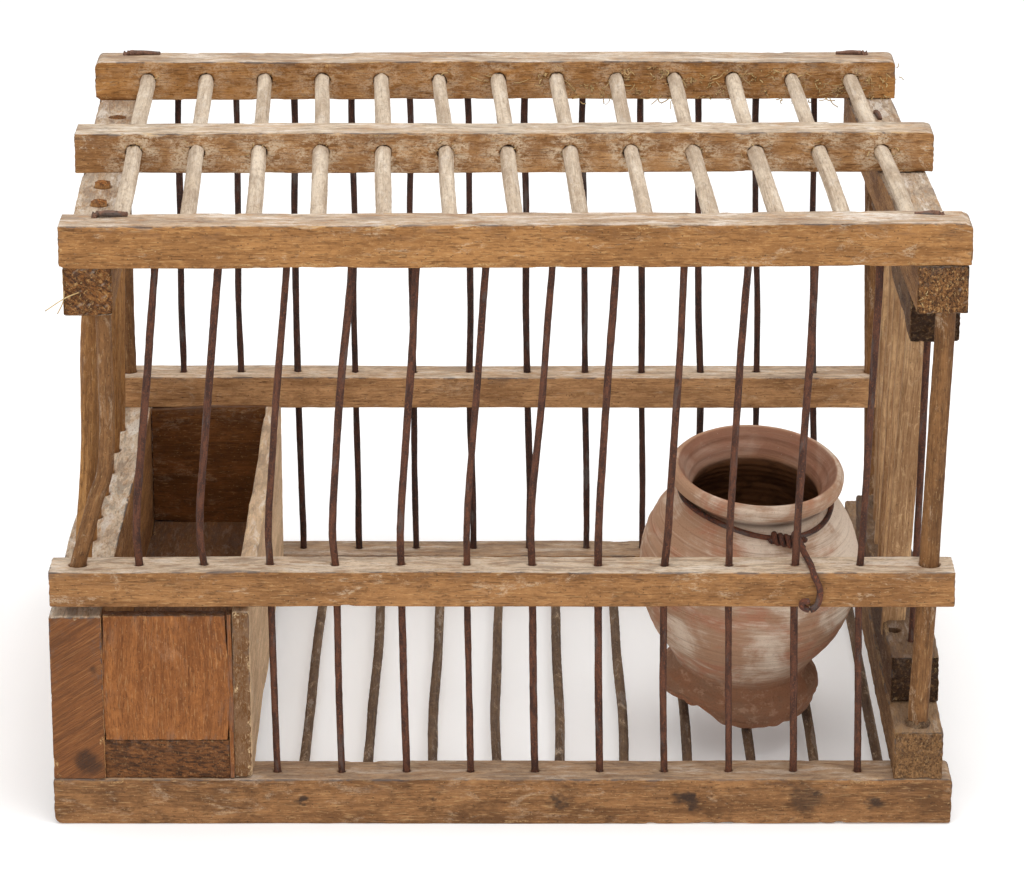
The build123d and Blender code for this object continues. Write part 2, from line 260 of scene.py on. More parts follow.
def near_line(points, line):
    """Distance of each point from a bent line."""
    best = np.full(len(points), np.inf)
    for a, b in zip(line, line[1:]):
        t = np.clip((points - a) @ (b - a) / ((b - a) @ (b - a)), 0, 1)
        best = np.minimum(best, np.linalg.norm(points - a - t[:, None] * (b - a), axis=1))
    return best


def bore(shape, line, radius, gap=0.2, depth=2.5, bloom=0.0):
    """Sinks the surface around a rod that enters it, off to one side, and darkens the hole: a soft stain ring
    round it, and painted shade where the surface sinks.

    gap: room round the rod. bloom: strength of the pale dust that fans out from the hole.
    """
    reach = np.abs(shape.points - (line.min(0) + line.max(0)) / 2) <= np.ptp(line, axis=0) / 2 + radius + 24
    close = np.where(reach.all(axis=1))[0]
    if not len(close):
        return
    points = shape.points[close]
    slack = gap * np.array([noise(line[:1], 7, seed)[0] for seed in (91, 92, 93)])
    distance = near_line(points - 1.5 * slack, line)
    distance = distance + 0.45 * noise(points, 3.2, 61) + 0.3 * noise(points, 1.4, 62)
    sink = 1 - step(radius + gap - 0.5, radius + gap + 0.2, distance)
    shape.points[close] -= shape.normals()[close] * (depth * sink)[:, None]
    if bloom:
        lip = np.exp(-(((distance - radius - gap - 1.6) / 1.5) ** 2)) * (1 - sink)
        shape.points[close] += shape.normals()[close] * (0.6 * lip * (0.5 + noise(points, 2.5, 67)))[:, None]
        fan = (1 - step(radius + 3, radius + 22, distance + 8 * rough(points, 14, 65))) * bloom
        around = np.zeros(len(shape.points))
        around[close] = fan
        shape.brush("bloom", around)
    # Darkening: a soft real stain ring round the hole, and painted shade in the sunk gap.
    soft = 0.22 * (1 - step(radius + gap, radius + gap + 2.6, distance + 1.2 * rough(points, 4, 69)))
    stain_and_shade = np.zeros(len(shape.points))
    stain_and_shade[close] = soft + 0.6 * sink
    shape.brush("stain_and_shade", stain_and_shade)


def beam_axes(low, high, grain, up, turn):
    """Directions along, across and up a beam, and its size along them, where it is yawed within its box."""
    along, side = grain, np.cross(up, grain)
    size = np.array([np.abs(axis) @ (high - low) for axis in (along, side, up)])
    if turn:
        c, s = cos(turn), abs(sin(turn))
        size[:2] = np.array([size[0] * c - size[1] * s, size[1] * c - size[0] * s]) / (c * c - s * s)
        along = along * c + np.cross(Z, along) * sin(turn)
        side = np.cross(up, along)
    return np.array([along, side, up]), size


def fine_bands(size, lines, everywhere):
    """Stretches along each side of a beam that need a fine mesh, because something round enters there."""
    bands = [[], [], []]
    for line, radius in lines:
        dense = resample(line, 1.0)
        inside = dense[(np.abs(dense) < size / 2 + 1).all(axis=1)]
        for axis in range(3):
            if len(inside) and np.ptp(inside[:, axis]) < 16:
                reach = radius + 2.5
                bands[axis].append((inside[:, axis].min() - reach, inside[:, axis].max() + reach))
    for axis in (1, 2) if everywhere else ():
        bands[axis].append((-size[axis], size[axis]))
    return bands


def wear_round(points, size, corners):
    """Wears corners of the long face round, each as (end, side, radius)."""
    for end, side_up, r in corners:
        sign = np.array([end, side_up])
        corner = sign * (size[[0, 2]] / 2 - r)
        past = (points[:, [0, 2]] - corner) * sign
        reach = np.linalg.norm(past, axis=1)
        pull = np.where((past > 0).all(axis=1) & (reach > r), r / np.maximum(reach, r), 1)
        points[:, [0, 2]] = corner + sign * past * pull[:, None]


def blots(shape, spots, sideways, key, seed, where):
    """Dark stains, each as (place, height, radius, strength); sideways gives the points' way from a place."""
    for place, height, r, strength in spots:
        away = np.hypot(sideways(place), shape.points[:, 2] - height) + 0.9 * r * rough(key, 0.7 * r, seed)
        shape.brush("stain_and_shade", strength * (1 - step(0.1 * r, 1.2 * r, away)) * where)


def sawn(low, high, seed, grain=X, up=Z, turn=0.0, spacing=1.7, worn=1.2, chips=0.5, relief=0.25, waver=0.5,
         end_bite=0.5, end_grit=False, lift=0.0, rods=(), bloom=0.0, sockets=(), spots=(), end_spots=(),
         round_corners=()):
    """Rough-sawn beam or board that fills a box, with worn and chipped edges and raised grain.

    turn: yaw of the beam within the box. waver: how uneven its thickness is. lift: rise from one end to
    the other. end_bite: how coarse its end grain is; end_grit: whether that needs a fine mesh.
    rods: lines and radii of what enters it. sockets: the same for empty holes. spots: dark stains on its
    face, as (distance along it, height, radius, strength). end_spots: the same on its near end, as
    (distance to the right, height, radius, strength). round_corners: see wear_round.
    """
    axes, size = beam_axes(low, high, grain, up, turn)
    middle = (low + high) / 2
    lines = [((line - middle) @ axes.T, radius) for line, radius in rods]
    holes = [((line - middle) @ axes.T, radius) for line, radius in sockets]
    sharp, quads = block_surface(size, spacing, fine_bands(size, lines + holes, end_grit))
    own = sharp + np.array([seed * 137.0, seed * 61.0, seed * 29.0])
    to_edge = np.sort(size / 2 - np.abs(sharp), axis=1)[:, 1]
    on_end = (size[0] / 2 - np.abs(sharp[:, 0])) < 0.01
    on_top_edge = size[2] / 2 - sharp[:, 2] < 0.45 * size[2]

    thin = size.min()
    chipped = step(1.05 - 0.6 * chips, 1.22 - 0.6 * chips, rough(own, (26, 9, 9), 5, 3) + 0.4)
    radius = worn * (1 + 0.7 * rough(own, (16, 7, 7), 9, 4)) + 2.6 * chipped * min(1.0, thin / 20)
    radius = np.clip(radius, 0.25, 0.42 * thin)[:, None]
    inner = np.clip(sharp, radius - size / 2, size / 2 - radius)
    points = inner + unit(sharp - inner) * radius
    swelling = np.stack([0 * own[:, 0], noise(own * X, 48, 11), noise(own * X, 55, 12)], -1)
    points *= 1 + waver * swelling / size[1:].min()

    out = unit(sharp - np.clip(sharp, 1.5 - size / 2, size / 2 - 1.5))
    uneven = 0.55 * rough(own, (60, 7, 7), 21, 3) + 0.45 * noise(own, (9, 1.9, 1.9), 23)
    points += out * (relief * uneven)[:, None]
    slanted = own @ np.array([[1, 0, 0], [0, 0.8, 0.6], [0, -0.6, 0.8]])
    bite = 0.8 * noise(slanted, (2.0, 3.4, 1.8), 31) + 0.4 * rough(own, 7.0, 33, 2) - 0.4
    points[:, 0] += np.where(on_end, np.sign(sharp[:, 0]) * end_bite * bite, 0)
    points[:, 1] += 0.4 * noise(own * X, 110, 41)
    points[:, 2] += 0.4 * noise(own * X, 130, 43) + lift * sharp[:, 0] / size[0]
    wear_round(points, size, round_corners)
    ragged = 0.55 + 0.45 * rough(own, (30, 8, 8), 51)
    shape = Shape(
        points, quads, grain=own, edge=np.exp(-((to_edge / 1.5) ** 2)) * ragged * (0.3 + 0.7 * on_top_edge),
        near=np.exp(-((to_edge / 8.0) ** 2)) * on_top_edge, end=on_end.astype(float),
        pale=0.7 * chipped * (to_edge < 3.2),
    )
    for line, radius in lines:
        bore(shape, line, radius, bloom=bloom)
    for line, radius in holes:
        bore(shape, line, radius, gap=-0.5, depth=14.0)
    x, y, _ = shape.points.T
    blots(shape, spots, lambda place: (x - place) / 1.4, shape.points, 57, y < 0)
    blots(shape, end_spots, lambda right: y + right, own, 59, (x < 0) & on_end)
    shape.points = middle + shape.points @ axes
    return shape


# ---------------- round bars and sticks
def lengths(path):
    """Distance of each point from the start of its path."""
    return np.concatenate([[0], np.cumsum(np.linalg.norm(np.diff(path, axis=0), axis=1))])


def resample(points, spacing):
    """Points at equal spacing along straight runs."""
    points = np.asarray(points, float)
    length = lengths(points)
    at = np.linspace(0, length[-1], max(2, round(length[-1] / spacing) + 1))
    return np.stack([np.interp(at, length, points[:, k]) for k in range(3)], -1)


def curve_through(points, spacing):
    """Smooth Catmull-Rom curve through the points."""
    points = np.asarray(points, float)
    padded = np.concatenate([[2 * points[0] - points[1]], points, [2 * points[-1] - points[-2]]])
    runs = []
    for p0, p1, p2, p3 in zip(padded, padded[1:], padded[2:], padded[3:]):
        t = np.linspace(0, 1, max(3, round(np.linalg.norm(p2 - p1) / spacing) + 1))[:-1, None]
        bend = (2 * p0 - 5 * p1 + 4 * p2 - p3) * t**2 + (3 * p1 - p0 - 3 * p2 + p3) * t**3
        runs.append(p1 + 0.5 * ((p2 - p0) * t + bend))
    return resample(np.concatenate(runs + [points[-1:]]), spacing)


def across(path):
    """Directions along and across a path at each of its points."""
    along = unit(np.gradient(path, axis=0))
    helper = X if abs(along[:, 0]).mean() < 0.7 else Z
    side = unit(np.cross(along, helper))
    return along, side, np.cross(along, side)


def wander(path, amount, seed, period=120.0):
    """Path with a slow wander to its sides, held at its ends."""
    length = lengths(path)
    _, side, over = across(path)
    key = np.stack([length, np.full(len(path), seed * 91.0), np.zeros(len(path))], -1)
    hold = np.minimum(1, np.minimum(length, length[-1] - length) / 30)[:, None]
    drift = side * noise(key, period, 81)[:, None] + over * noise(key, period, 83)[:, None]
    return path + hold * amount * drift


def ring_faces(rings, sides):
    """Quads between rings of points, and a fan at each end to a tip numbered after all of them."""
    ring = np.arange(sides)
    here = np.arange(rings - 1)[:, None] * sides + ring
    ahead = np.arange(rings - 1)[:, None] * sides + (ring + 1) % sides
    quads = np.stack([here, ahead, ahead + sides, here + sides], -1).reshape(-1, 4)
    total, last = rings * sides, (rings - 1) * sides
    first_fan = np.stack([np.full(sides, total), (ring + 1) % sides, ring], -1)
    last_fan = np.stack([np.full(sides, total + 1), last + ring, last + (ring + 1) % sides], -1)
    return quads, np.concatenate([first_fan, last_fan])


def turned(path, radius, sides, seed, relief=0.1, whittled=0.0, oval=0.0, dome=0.3):
    """Round bar along a path, closed at both ends.

    radius: one number, or one for each point. whittled: how deep long flats are cut into it.
    oval: flattening of its section. dome: how far its ends stand out, in radii.
    """
    along, side, over = across(path)
    count = len(path)
    radius = np.broadcast_to(radius, count)
    angle = np.linspace(0, 2 * pi, sides, endpoint=False)
    length = lengths(path)
    ring = np.stack([np.zeros(sides), np.cos(angle), np.sin(angle)], -1)
    own = (ring[None] * radius[:, None, None] + length[:, None, None] * X).reshape(-1, 3)
    own += np.array([seed * 211.0, seed * 53.0, seed * 31.0])
    swell = relief * (0.6 * rough(own, (22, 3, 3), 71) + 0.4 * noise(own, (4, 1.5, 1.5), 73))
    turn = np.tile(angle, count) + np.repeat(0.5 * np.sin(length / 90 + seed), sides)
    swell -= whittled * np.cos(2.5 * turn + seed) ** 2
    size = np.repeat(radius, sides) * (1 + oval * np.cos(2 * (turn + seed))) + swell
    face = np.tile(angle, count)[:, None]
    outward = np.repeat(side, sides, 0) * np.cos(face) + np.repeat(over, sides, 0) * np.sin(face)
    points = np.repeat(path, sides, 0) + outward * size[:, None]
    tips = [path[0] - along[0] * radius[0] * dome, path[-1] + along[-1] * radius[-1] * dome]
    tip_grain = [own[:sides].mean(0), own[-sides:].mean(0)]
    end = np.zeros(len(points) + 2)
    end[:sides] = end[-sides - 2 : -2] = 0.7
    end[-2:] = 1
    quads, fans = ring_faces(count, sides)
    return Shape(np.concatenate([points, tips]), quads, fans, grain=np.concatenate([own, tip_grain]), end=end)


# ---------------- materials
def tone(red, green, blue):
    """Linear colour from the eight-bit values a colour picker shows."""
    return tuple(((c / 255 + 0.055) / 1.055) ** 2.4 for c in (red, green, blue)) + (1.0,)


def blend(first, second, share):
    return tuple(a + (b - a) * share for a, b in zip(first, second))


def feed(node, inputs):
    """Sets a node's inputs, given by name or number, to values or links them to other nodes' outputs."""
    for key, value in inputs.items():
        if isinstance(value, bpy.types.NodeSocket):
            node.id_data.links.new(value, node.inputs[key])
        else:
            node.inputs[key].default_value = value


class Material:
    """A procedural material, with short ways to add and link its nodes.

    Its coordinates are the "grain" attribute, in millimetres, with X along the grain. Noise takes the
    size of its features along each axis, as a cell in millimetres.
    """

    def __init__(self, name):
        self.data = bpy.data.materials.new(name)
        self.data.use_nodes = True
        self.nodes = self.data.node_tree.nodes
        self.coords = self.paint("grain", "Vector")

    def add(self, kind, output, inputs, **settings):
        """Output of a new node."""
        node = self.nodes.new("ShaderNode" + kind)
        for key, value in settings.items():
            setattr(node, key, value)
        feed(node, inputs)
        return node.outputs[output]

    def paint(self, name, output="Fac"):
        return self.add("Attribute", output, {}, attribute_name=name)

    def spread(self, cell, shift=0.0, turn=(0.0, 0.0, 0.0)):
        """Coordinates turned, then divided by the cell."""
        return self.add("Mapping", "Vector", {
            "Vector": self.coords, "Location": (7.0 * shift, 5.0 * shift, 9.0 * shift),
            "Rotation": [radians(a) for a in turn], "Scale": cell,
        }, vector_type="TEXTURE")

    def noise(self, cell, detail=3.0, rough=0.55, warp=0.0, **place):
        return self.add("TexNoise", "Fac", {
            "Vector": self.spread(cell, **place), "Scale": 1.0, "Detail": detail, "Roughness": rough,
            "Distortion": warp,
        })

    def cells(self, cell, shift=0.0):
        """Distance to the nearest of scattered points."""
        return self.add("TexVoronoi", "Distance", {"Vector": self.spread(cell, shift), "Scale": 1.0})

    def between(self, value, low, high, at_high=1.0, at_low=0.0):
        """Smooth step between at_low and at_high as value goes from low to high, which may be the smaller."""
        inputs = dict(enumerate((value, low, high, at_low, at_high)))
        return self.add("MapRange", "Result", inputs, interpolation_type="SMOOTHSTEP")

    def math(self, operation, *values):
        """Sum, product or maximum of all the values."""
        total = values[0]
        for value in values[1:]:
            total = self.add("Math", "Value", {0: total, 1: value}, operation=operation)
        return total

    def times(self, *values):
        return self.math("MULTIPLY", *values)

    def plus(self, *values):
        return self.math("ADD", *values)

    def mix(self, factor, first, second):
        return self.add("Mix", 2, {0: factor, 6: first, 7: second}, data_type="RGBA")

    def coats(self, colour, *coats):
        """Colour with others laid over it, each as (cover, colour), or as what between takes and a colour."""
        for *cover, over in coats:
            colour = self.mix(self.between(*cover) if cover[1:] else cover[0], colour, over)
        return colour

    def finish(self, colour, rough, height, depth):
        """Sets the shader. depth: millimetres of relief for a height of one."""
        bump = self.add("Bump", "Normal", {"Strength": 1.0, "Distance": depth * MM, "Height": height})
        feed(self.nodes["Principled BSDF"], {
            "Base Color": colour, "Roughness": rough, "Specular IOR Level": 0.25, "Normal": bump})
        return self.data


DUST, BLOOM = (202, 184, 162), tone(210, 186, 156)
# The first dark tone here is dirt, and also the painted shade inside holes.
GRIME_AND_SHADE, SOOT, SLATE = tone(52, 40, 34), tone(34, 22, 18), tone(92, 86, 86)
FRESH, CHALK = tone(224, 192, 138), tone(248, 242, 232)


def wood(name, light, body, dark, blotch=0.5, dashes=0.6, streaks=0.5, bloom=0.35, relief=0.8, dusty=DUST,
         dust_cover=0.9, end_tone=None, end_dark=0.6, end_cell=(1.8, 2.2), end_turn=0.0, pits=0.6, flakes=0.7,
         arris=0.7):
    """Old unpainted wood.

    light, body, dark: its three tones. blotch: strength of soft dirty patches. dashes: of the short pores
    and fibres. streaks: of the long grain lines. bloom: of pale dry patches. dusty: tone of the dust on
    top; dust_cover: how much it hides. end_tone: of its end grain. end_cell, end_turn: size and direction
    of the marks there. end_dark, pits: how dark and how pitted it is. flakes: whiteness of the dust's
    flakes. arris: strength of the grey along its edges.
    """
    m = Material(name)
    light, body, dark, dusty = tone(*light), tone(*body), tone(*dark), tone(*dusty)
    bands = m.noise((110, 11, 11), detail=5, rough=0.6, warp=0.4)
    lines = m.noise((60, 1.3, 1.3), detail=4, rough=0.7, shift=7)
    hair = m.noise((13, 0.9, 0.9), detail=3, rough=0.65, shift=13)
    pore = m.between(m.noise((7, 1.0, 1.0), detail=2, shift=19), 0.60, 0.70)
    fibre = m.between(m.noise((9, 1.1, 1.1), detail=2, shift=31), 0.59, 0.71)
    patch = m.noise((46, 20, 20), detail=6, rough=0.68, warp=0.6, shift=43)
    mottle = m.noise((9, 5, 5), detail=6, rough=0.78, warp=0.5, shift=49)
    dry = m.noise((34, 15, 15), detail=6, rough=0.74, warp=0.8, shift=57)
    grit = m.noise((1.5, 1.1, 1.1), detail=3, rough=0.7, shift=63)
    speck = m.cells((3.6, 3.0, 3.0), shift=67)
    spot = m.cells((5.0, 4.0, 4.0), shift=71)
    flake = m.times(m.between(grit, 0.36, 0.52), m.between(mottle, 0.60, 0.44))
    dry_patch = m.times(m.between(dry, 0.55, 0.64), flake, bloom)
    fan = m.times(m.paint("bloom"), m.between(dry, 0.36, 0.52), flake)
    contrast, line_cover = 0.2 + 0.35 * streaks, 0.2 + 0.4 * streaks
    colour = m.coats(
        m.mix(m.between(bands, 0.36, 0.64), blend(body, dark, contrast), blend(body, light, contrast)),
        (mottle, 0.50, 0.64, 0.55, blend(body, dark, 0.75)),
        (mottle, 0.46, 0.34, 0.55, light),
        (lines, 0.52, 0.68, line_cover, dark),
        (lines, 0.46, 0.32, line_cover, light),
        (hair, 0.54, 0.68, 0.5, dark),
        (hair, 0.44, 0.32, 0.4, light),
        (m.times(m.between(patch, 0.48, 0.66), blotch), blend(dark, body, 0.25)),
        (m.times(m.between(patch, 0.45, 0.30), 0.6 * blotch), light),
        (m.times(pore, 0.7 * dashes), blend(dark, GRIME_AND_SHADE, 0.3)),
        (m.times(fibre, 0.7 * dashes), blend(light, FRESH, 0.4)),
        (speck, 0.17, 0.10, 0.5 * dashes, blend(light, FRESH, 0.6)),
        (spot, 0.14, 0.08, dashes, GRIME_AND_SHADE),
        (m.math("MAXIMUM", dry_patch, fan), BLOOM),
    )
    height = m.plus(m.times(lines, 0.6), m.times(hair, 0.6), m.times(pore, -0.5), m.times(grit, 0.6),
                    m.times(mottle, 0.9))

    end_face = m.between(m.paint("end"), 0.3, 0.8)
    turn = (end_turn, 0.0, 0.0)
    coarse = m.noise((2.0, *end_cell), detail=3, rough=0.65, warp=0.3, shift=83, turn=turn)
    broad = m.noise((9, 5 * end_cell[0], 3 * end_cell[1]), detail=4, rough=0.65, shift=87, turn=turn)
    pit = m.between(m.cells((2.2, 1.7, 1.7), shift=77), 0.34, 0.14, pits)
    crumbs = m.noise((2.2, 1.6, 2.4), detail=3, rough=0.7, shift=79, turn=turn)
    crumb = m.between(crumbs, 0.57, 0.64, 0.8 * pits)
    end_colour = m.coats(
        tone(*end_tone) if end_tone else blend(body, dark, 0.4),
        (coarse, 0.48, 0.62, end_dark, blend(dark, GRIME_AND_SHADE, 0.35)),
        (coarse, 0.46, 0.32, 0.2 + 0.6 * pits, light),
        (broad, 0.48, 0.62, 0.75 * end_dark, blend(dark, GRIME_AND_SHADE, 0.25)),
        (pit, blend(GRIME_AND_SHADE, dark, 0.3)),
        (crumb, blend(light, FRESH, 0.3)),
    )
    end_height = m.plus(m.times(coarse, -1.8), m.times(pit, -1.0), m.times(grit, 0.5), m.times(crumb, 0.5))
    height = m.mix(end_face, height, end_height)

    settled = m.noise((14, 4, 4), detail=6, rough=0.74, shift=91)
    grey = m.noise((42, 9, 9), detail=6, rough=0.70, warp=0.5, shift=97)
    dust = m.times(m.paint("dust"), m.between(settled, 0.38, 0.52, 1.0, 0.45), dust_cover)
    dusty_colour = m.coats(
        m.mix(m.between(grey, 0.50, 0.58), dusty, m.mix(0.45, dusty, SLATE)),
        (grey, 0.47, 0.40, 0.9, blend(dusty, CHALK, flakes)),
        (settled, 0.56, 0.64, 0.75, blend(dusty, dark, 0.6)),
        (grit, 0.56, 0.70, 0.4, blend(dusty, dark, 0.5)),
    )

    worn = m.noise((22, 7, 7), detail=6, rough=0.70, shift=103)
    edge = m.between(m.paint("edge"), 0.25, 0.55)
    chip = m.times(m.between(m.paint("pale"), 0.25, 0.5), m.between(worn, 0.52, 0.42),
                   m.between(grit, 0.6, 0.4), 0.75)
    # Stain paint: real stains, and painted shade in the gaps round rods and inside empty holes.
    stain_and_shade = m.times(m.between(m.paint("stain_and_shade"), 0.05, 0.9), m.between(grit, 0.75, 0.4, 1.0, 0.75), 0.92)
    colour = m.coats(
        colour,
        (end_face, end_colour),
        (dust, dusty_colour),
        (m.times(m.paint("near"), m.between(worn, 0.50, 0.64), 0.35), tone(112, 96, 84)),
        (m.times(edge, m.between(worn, 0.48, 0.54), arris), SLATE),
        (m.times(edge, m.between(worn, 0.43, 0.37), 0.6), blend(light, FRESH, 0.5)),
        (chip, blend(light, FRESH, 0.5)),
        (stain_and_shade, GRIME_AND_SHADE),
    )
    return m.finish(colour, m.between(grit, 0.3, 0.7, 0.96, 0.72), height, relief)


def rusty(name, light, body, dark, bare=0.5):
    """Rusted iron wire: dark scale with browner powdery patches, pits and barer grey parts."""
    m = Material(name)
    scale = m.noise((14, 4, 4), detail=5, rough=0.65)
    powder = m.noise((1.6, 1.1, 1.1), detail=4, rough=0.7, shift=11)
    clean = m.noise((30, 7, 7), detail=3, shift=23)
    pit = m.cells((1.8, 1.3, 1.3), shift=31)
    colour = m.coats(
        m.mix(m.between(scale, 0.38, 0.62), tone(*dark), tone(*body)),
        (powder, 0.50, 0.68, 0.7, tone(*light)),
        (clean, 0.58, 0.68, bare, tone(92, 84, 80)),
        (pit, 0.30, 0.10, 0.6, SOOT),
    )
    height = m.plus(powder, m.times(m.between(pit, 0.0, 0.35), 0.6), m.times(scale, 0.8))
    return m.finish(colour, m.between(powder, 0.3, 0.7, 0.9, 0.6), height, 0.6)


def clay(name):
    """Low-fired clay: wheel marks, limey bloom, a reddish lip, a dull foot and an inside darkened by dirt and
    painted shade.
    """
    m = Material(name)
    cloud = m.noise((46, 46, 34), detail=5, rough=0.6, warp=0.7, shift=9)
    blush = m.noise((30, 30, 20), detail=4, rough=0.6, warp=0.6, shift=15)
    wheel = m.noise((90, 90, 2.6), detail=4, rough=0.65, warp=0.2)
    scour = m.noise((26, 26, 1.1), detail=4, rough=0.75, warp=0.3, shift=21, turn=(5.0, 3.0, 0.0))
    groove = m.noise((300, 300, 1.1), detail=2, shift=27, turn=(1.5, 1.0, 0.0))
    grit = m.noise((1.1, 1.1, 1.1), detail=4, rough=0.7, shift=33)
    blotch = m.noise((9, 9, 6), detail=5, rough=0.7, shift=51)
    speck = m.cells((4.5, 4.5, 4.5), shift=41)
    lime = m.plus(m.times(cloud, 0.60), m.times(scour, 0.20), m.times(wheel, 0.08), m.times(grit, 0.12))
    # Bloom paint: more pale lime on one side of the pot, partly real bloom and partly painted light.
    lime = m.plus(lime, m.times(m.paint("bloom"), 0.17))
    lip = m.mix(m.between(cloud, 0.4, 0.6), tone(134, 90, 70), tone(150, 110, 90))
    dull = m.coats(
        m.mix(m.between(cloud, 0.42, 0.60), tone(154, 106, 78), tone(136, 96, 70)),
        (blotch, 0.52, 0.64, 0.6, tone(186, 146, 118)),
        (grit, 0.52, 0.66, 0.5, tone(104, 76, 58)),
    )
    broken = m.mix(m.between(grit, 0.4, 0.6), tone(186, 112, 68), tone(142, 86, 56))
    # Inside tones: darker than the outside, partly dirt and partly painted shade.
    inside = m.mix(m.between(blush, 0.42, 0.60), tone(126, 84, 52), tone(92, 58, 34))
    colour = m.coats(
        m.mix(m.between(blush, 0.48, 0.66), tone(174, 136, 108), tone(178, 126, 98)),
        (lime, 0.47, 0.62, 0.88, tone(228, 210, 190)),
        (wheel, 0.56, 0.66, 0.3, tone(146, 112, 90)),
        (groove, 0.60, 0.68, 0.34, tone(124, 90, 70)),
        (groove, 0.38, 0.32, 0.2, tone(222, 204, 186)),
        (grit, 0.54, 0.70, 0.5, tone(126, 92, 70)),
        (m.times(m.paint("near"), 0.8), lip),
        (m.times(m.paint("pale"), 0.9), dull),
        (speck, 0.06, 0.03, 0.8, tone(214, 200, 184)),
        (m.paint("end"), broken),
        (m.times(m.paint("edge"), 0.8), tone(74, 50, 38)),
        (m.paint("stain_and_shade"), inside),
    )
    height = m.plus(m.times(wheel, 1.0), m.times(grit, 0.35), m.times(scour, 0.55))
    return m.finish(colour, m.between(grit, 0.3, 0.7, 0.94, 0.68), height, 0.6)


RAIL_WOOD = wood("rail_wood", (194, 143, 89), (163, 113, 65), (104, 67, 35), bloom=0.5, blotch=0.45)
RAIL_WOOD_MID = wood(
    "rail_wood_mid", (184, 135, 86), (154, 107, 64), (100, 65, 36), bloom=0.5, blotch=0.45,
    dusty=(232, 212, 186), flakes=0.5)
# Rail wood with darker tones for the back roof rail: painted shade.
RAIL_WOOD_SHADED = wood(
    "rail_wood_shaded", (196, 142, 82), (162, 111, 60), (98, 61, 29), bloom=0.3, blotch=0.6,
    dusty=(206, 188, 166))
# Lighter copy of the rail wood for the middle back rail, which sits in shade: painted light.
RAIL_WOOD_LIGHTENED = wood(
    "rail_wood_lightened", (216, 168, 118), (188, 140, 94), (118, 80, 48), blotch=0.6, dusty=(222, 200, 174))
RAIL_WOOD_BLOOMED = wood(
    "rail_wood_bloomed", (200, 152, 100), (166, 118, 71), (104, 67, 38), bloom=1.0, blotch=0.55,
    dusty=(210, 194, 172))
RAIL_WOOD_LOW = wood(
    "rail_wood_low", (178, 130, 84), (142, 98, 60), (80, 53, 32), bloom=0.3, blotch=0.9,
    dusty=(196, 168, 138), dust_cover=0.8, flakes=0.4)
SIDE_WOOD = wood(
    "side_rail_wood", (190, 144, 88), (152, 105, 60), (84, 50, 26), bloom=0.3, end_dark=0.9,
    end_tone=(132, 85, 44), end_cell=(4.5, 1.7), end_turn=38, relief=1.1, pits=0.8)
SIDE_WOOD_PORED = wood(
    "side_rail_wood_pored", (200, 153, 97), (152, 105, 61), (78, 47, 24), bloom=0.3, end_dark=0.9,
    end_tone=(132, 89, 50), end_cell=(1.7, 2.0), relief=1.1, pits=0.9)
SILL_WOOD = wood(
    "sill_wood", (176, 134, 88), (134, 95, 57), (76, 49, 29), bloom=0.3, blotch=0.8, dusty=(164, 134, 102),
    flakes=0.2, end_tone=(134, 97, 61), relief=1.1)
# Dark tones for the gate rails, partly the wood's own and partly painted shade.
GATE_WOOD_SHADED = wood(
    "gate_rail_wood_shaded", (144, 108, 69), (108, 73, 44), (58, 36, 21), bloom=0.4, dusty=(124, 98, 74),
    flakes=0.15, end_dark=1.0, end_tone=(67, 44, 26), end_cell=(3.0, 2.4), end_turn=70, relief=1.3, pits=0.3,
    blotch=0.8)
TROUGH_WOOD = wood(
    "trough_wood", (184, 121, 68), (142, 86, 44), (92, 52, 26), bloom=0.1, blotch=0.35, dashes=0.45,
    streaks=0.3, dusty=(140, 104, 74), dust_cover=0.7, flakes=0.2, arris=0.25, end_tone=(116, 71, 37),
    end_cell=(5.0, 2.0), end_turn=8, end_dark=0.8, pits=0.3)
TROUGH_FLOOR_WOOD = wood(
    "trough_floor_wood", (158, 106, 63), (108, 69, 38), (62, 37, 20), bloom=0.1, dusty=(104, 74, 50),
    dust_cover=0.7, flakes=0.12, arris=0.25, end_tone=(116, 73, 40), end_cell=(6.0, 1.8), end_turn=5,
    end_dark=0.85, pits=0.35, relief=1.0)
# Darker copy of the trough wood for the back panel, which faces into the box: painted shade.
TROUGH_WOOD_SHADED = wood(
    "trough_wood_shaded", (150, 96, 50), (112, 68, 30), (70, 40, 14), bloom=0.2, dusty=(120, 88, 60),
    dust_cover=0.6, flakes=0.3, arris=0.25)
# Pale tones for the inner board, raised to make up for the shade on its faces: partly its own colour, partly
# painted light.
BOARD_WOOD_LIGHTENED = wood(
    "inner_board_wood_lightened", (244, 212, 171), (223, 187, 147), (149, 113, 81), bloom=0.8, dusty=(206, 178, 148),
    end_tone=(108, 70, 36), end_cell=(1.6, 5.0), end_dark=0.9, pits=0.15, arris=0.2)
# Plank wood with its body tone raised to lift the shade on its inside face: partly its own colour, partly
# painted light.
PLANK_WOOD_LIGHTENED = wood(
    "plank_wood_lightened", (206, 154, 99), (170, 121, 76), (84, 54, 35), bloom=0.4, dusty=(226, 206, 180),
    end_tone=(134, 84, 48), end_cell=(20.0, 0.8), end_turn=-33, end_dark=0.40, pits=0.0, dust_cover=1.0)
STICK_WOOD = wood(
    "stick_wood", (226, 186, 140), (192, 150, 106), (122, 84, 54), streaks=1.0, dashes=0.4, bloom=0.3,
    blotch=0.4, end_tone=(150, 96, 50), end_dark=0.9)
LEFT_STICK_WOOD = wood(
    "left_stick_wood", (196, 146, 89), (154, 105, 59), (96, 60, 33), streaks=1.0, dashes=0.4, bloom=0.2,
    blotch=0.4, end_tone=(150, 93, 44), end_dark=1.0, dusty=(150, 96, 50))
DOWEL_WOOD = wood(
    "dowel_wood", (156, 112, 70), (121, 82, 48), (78, 50, 29), streaks=0.7, dashes=0.5, bloom=0.4, blotch=0.6)
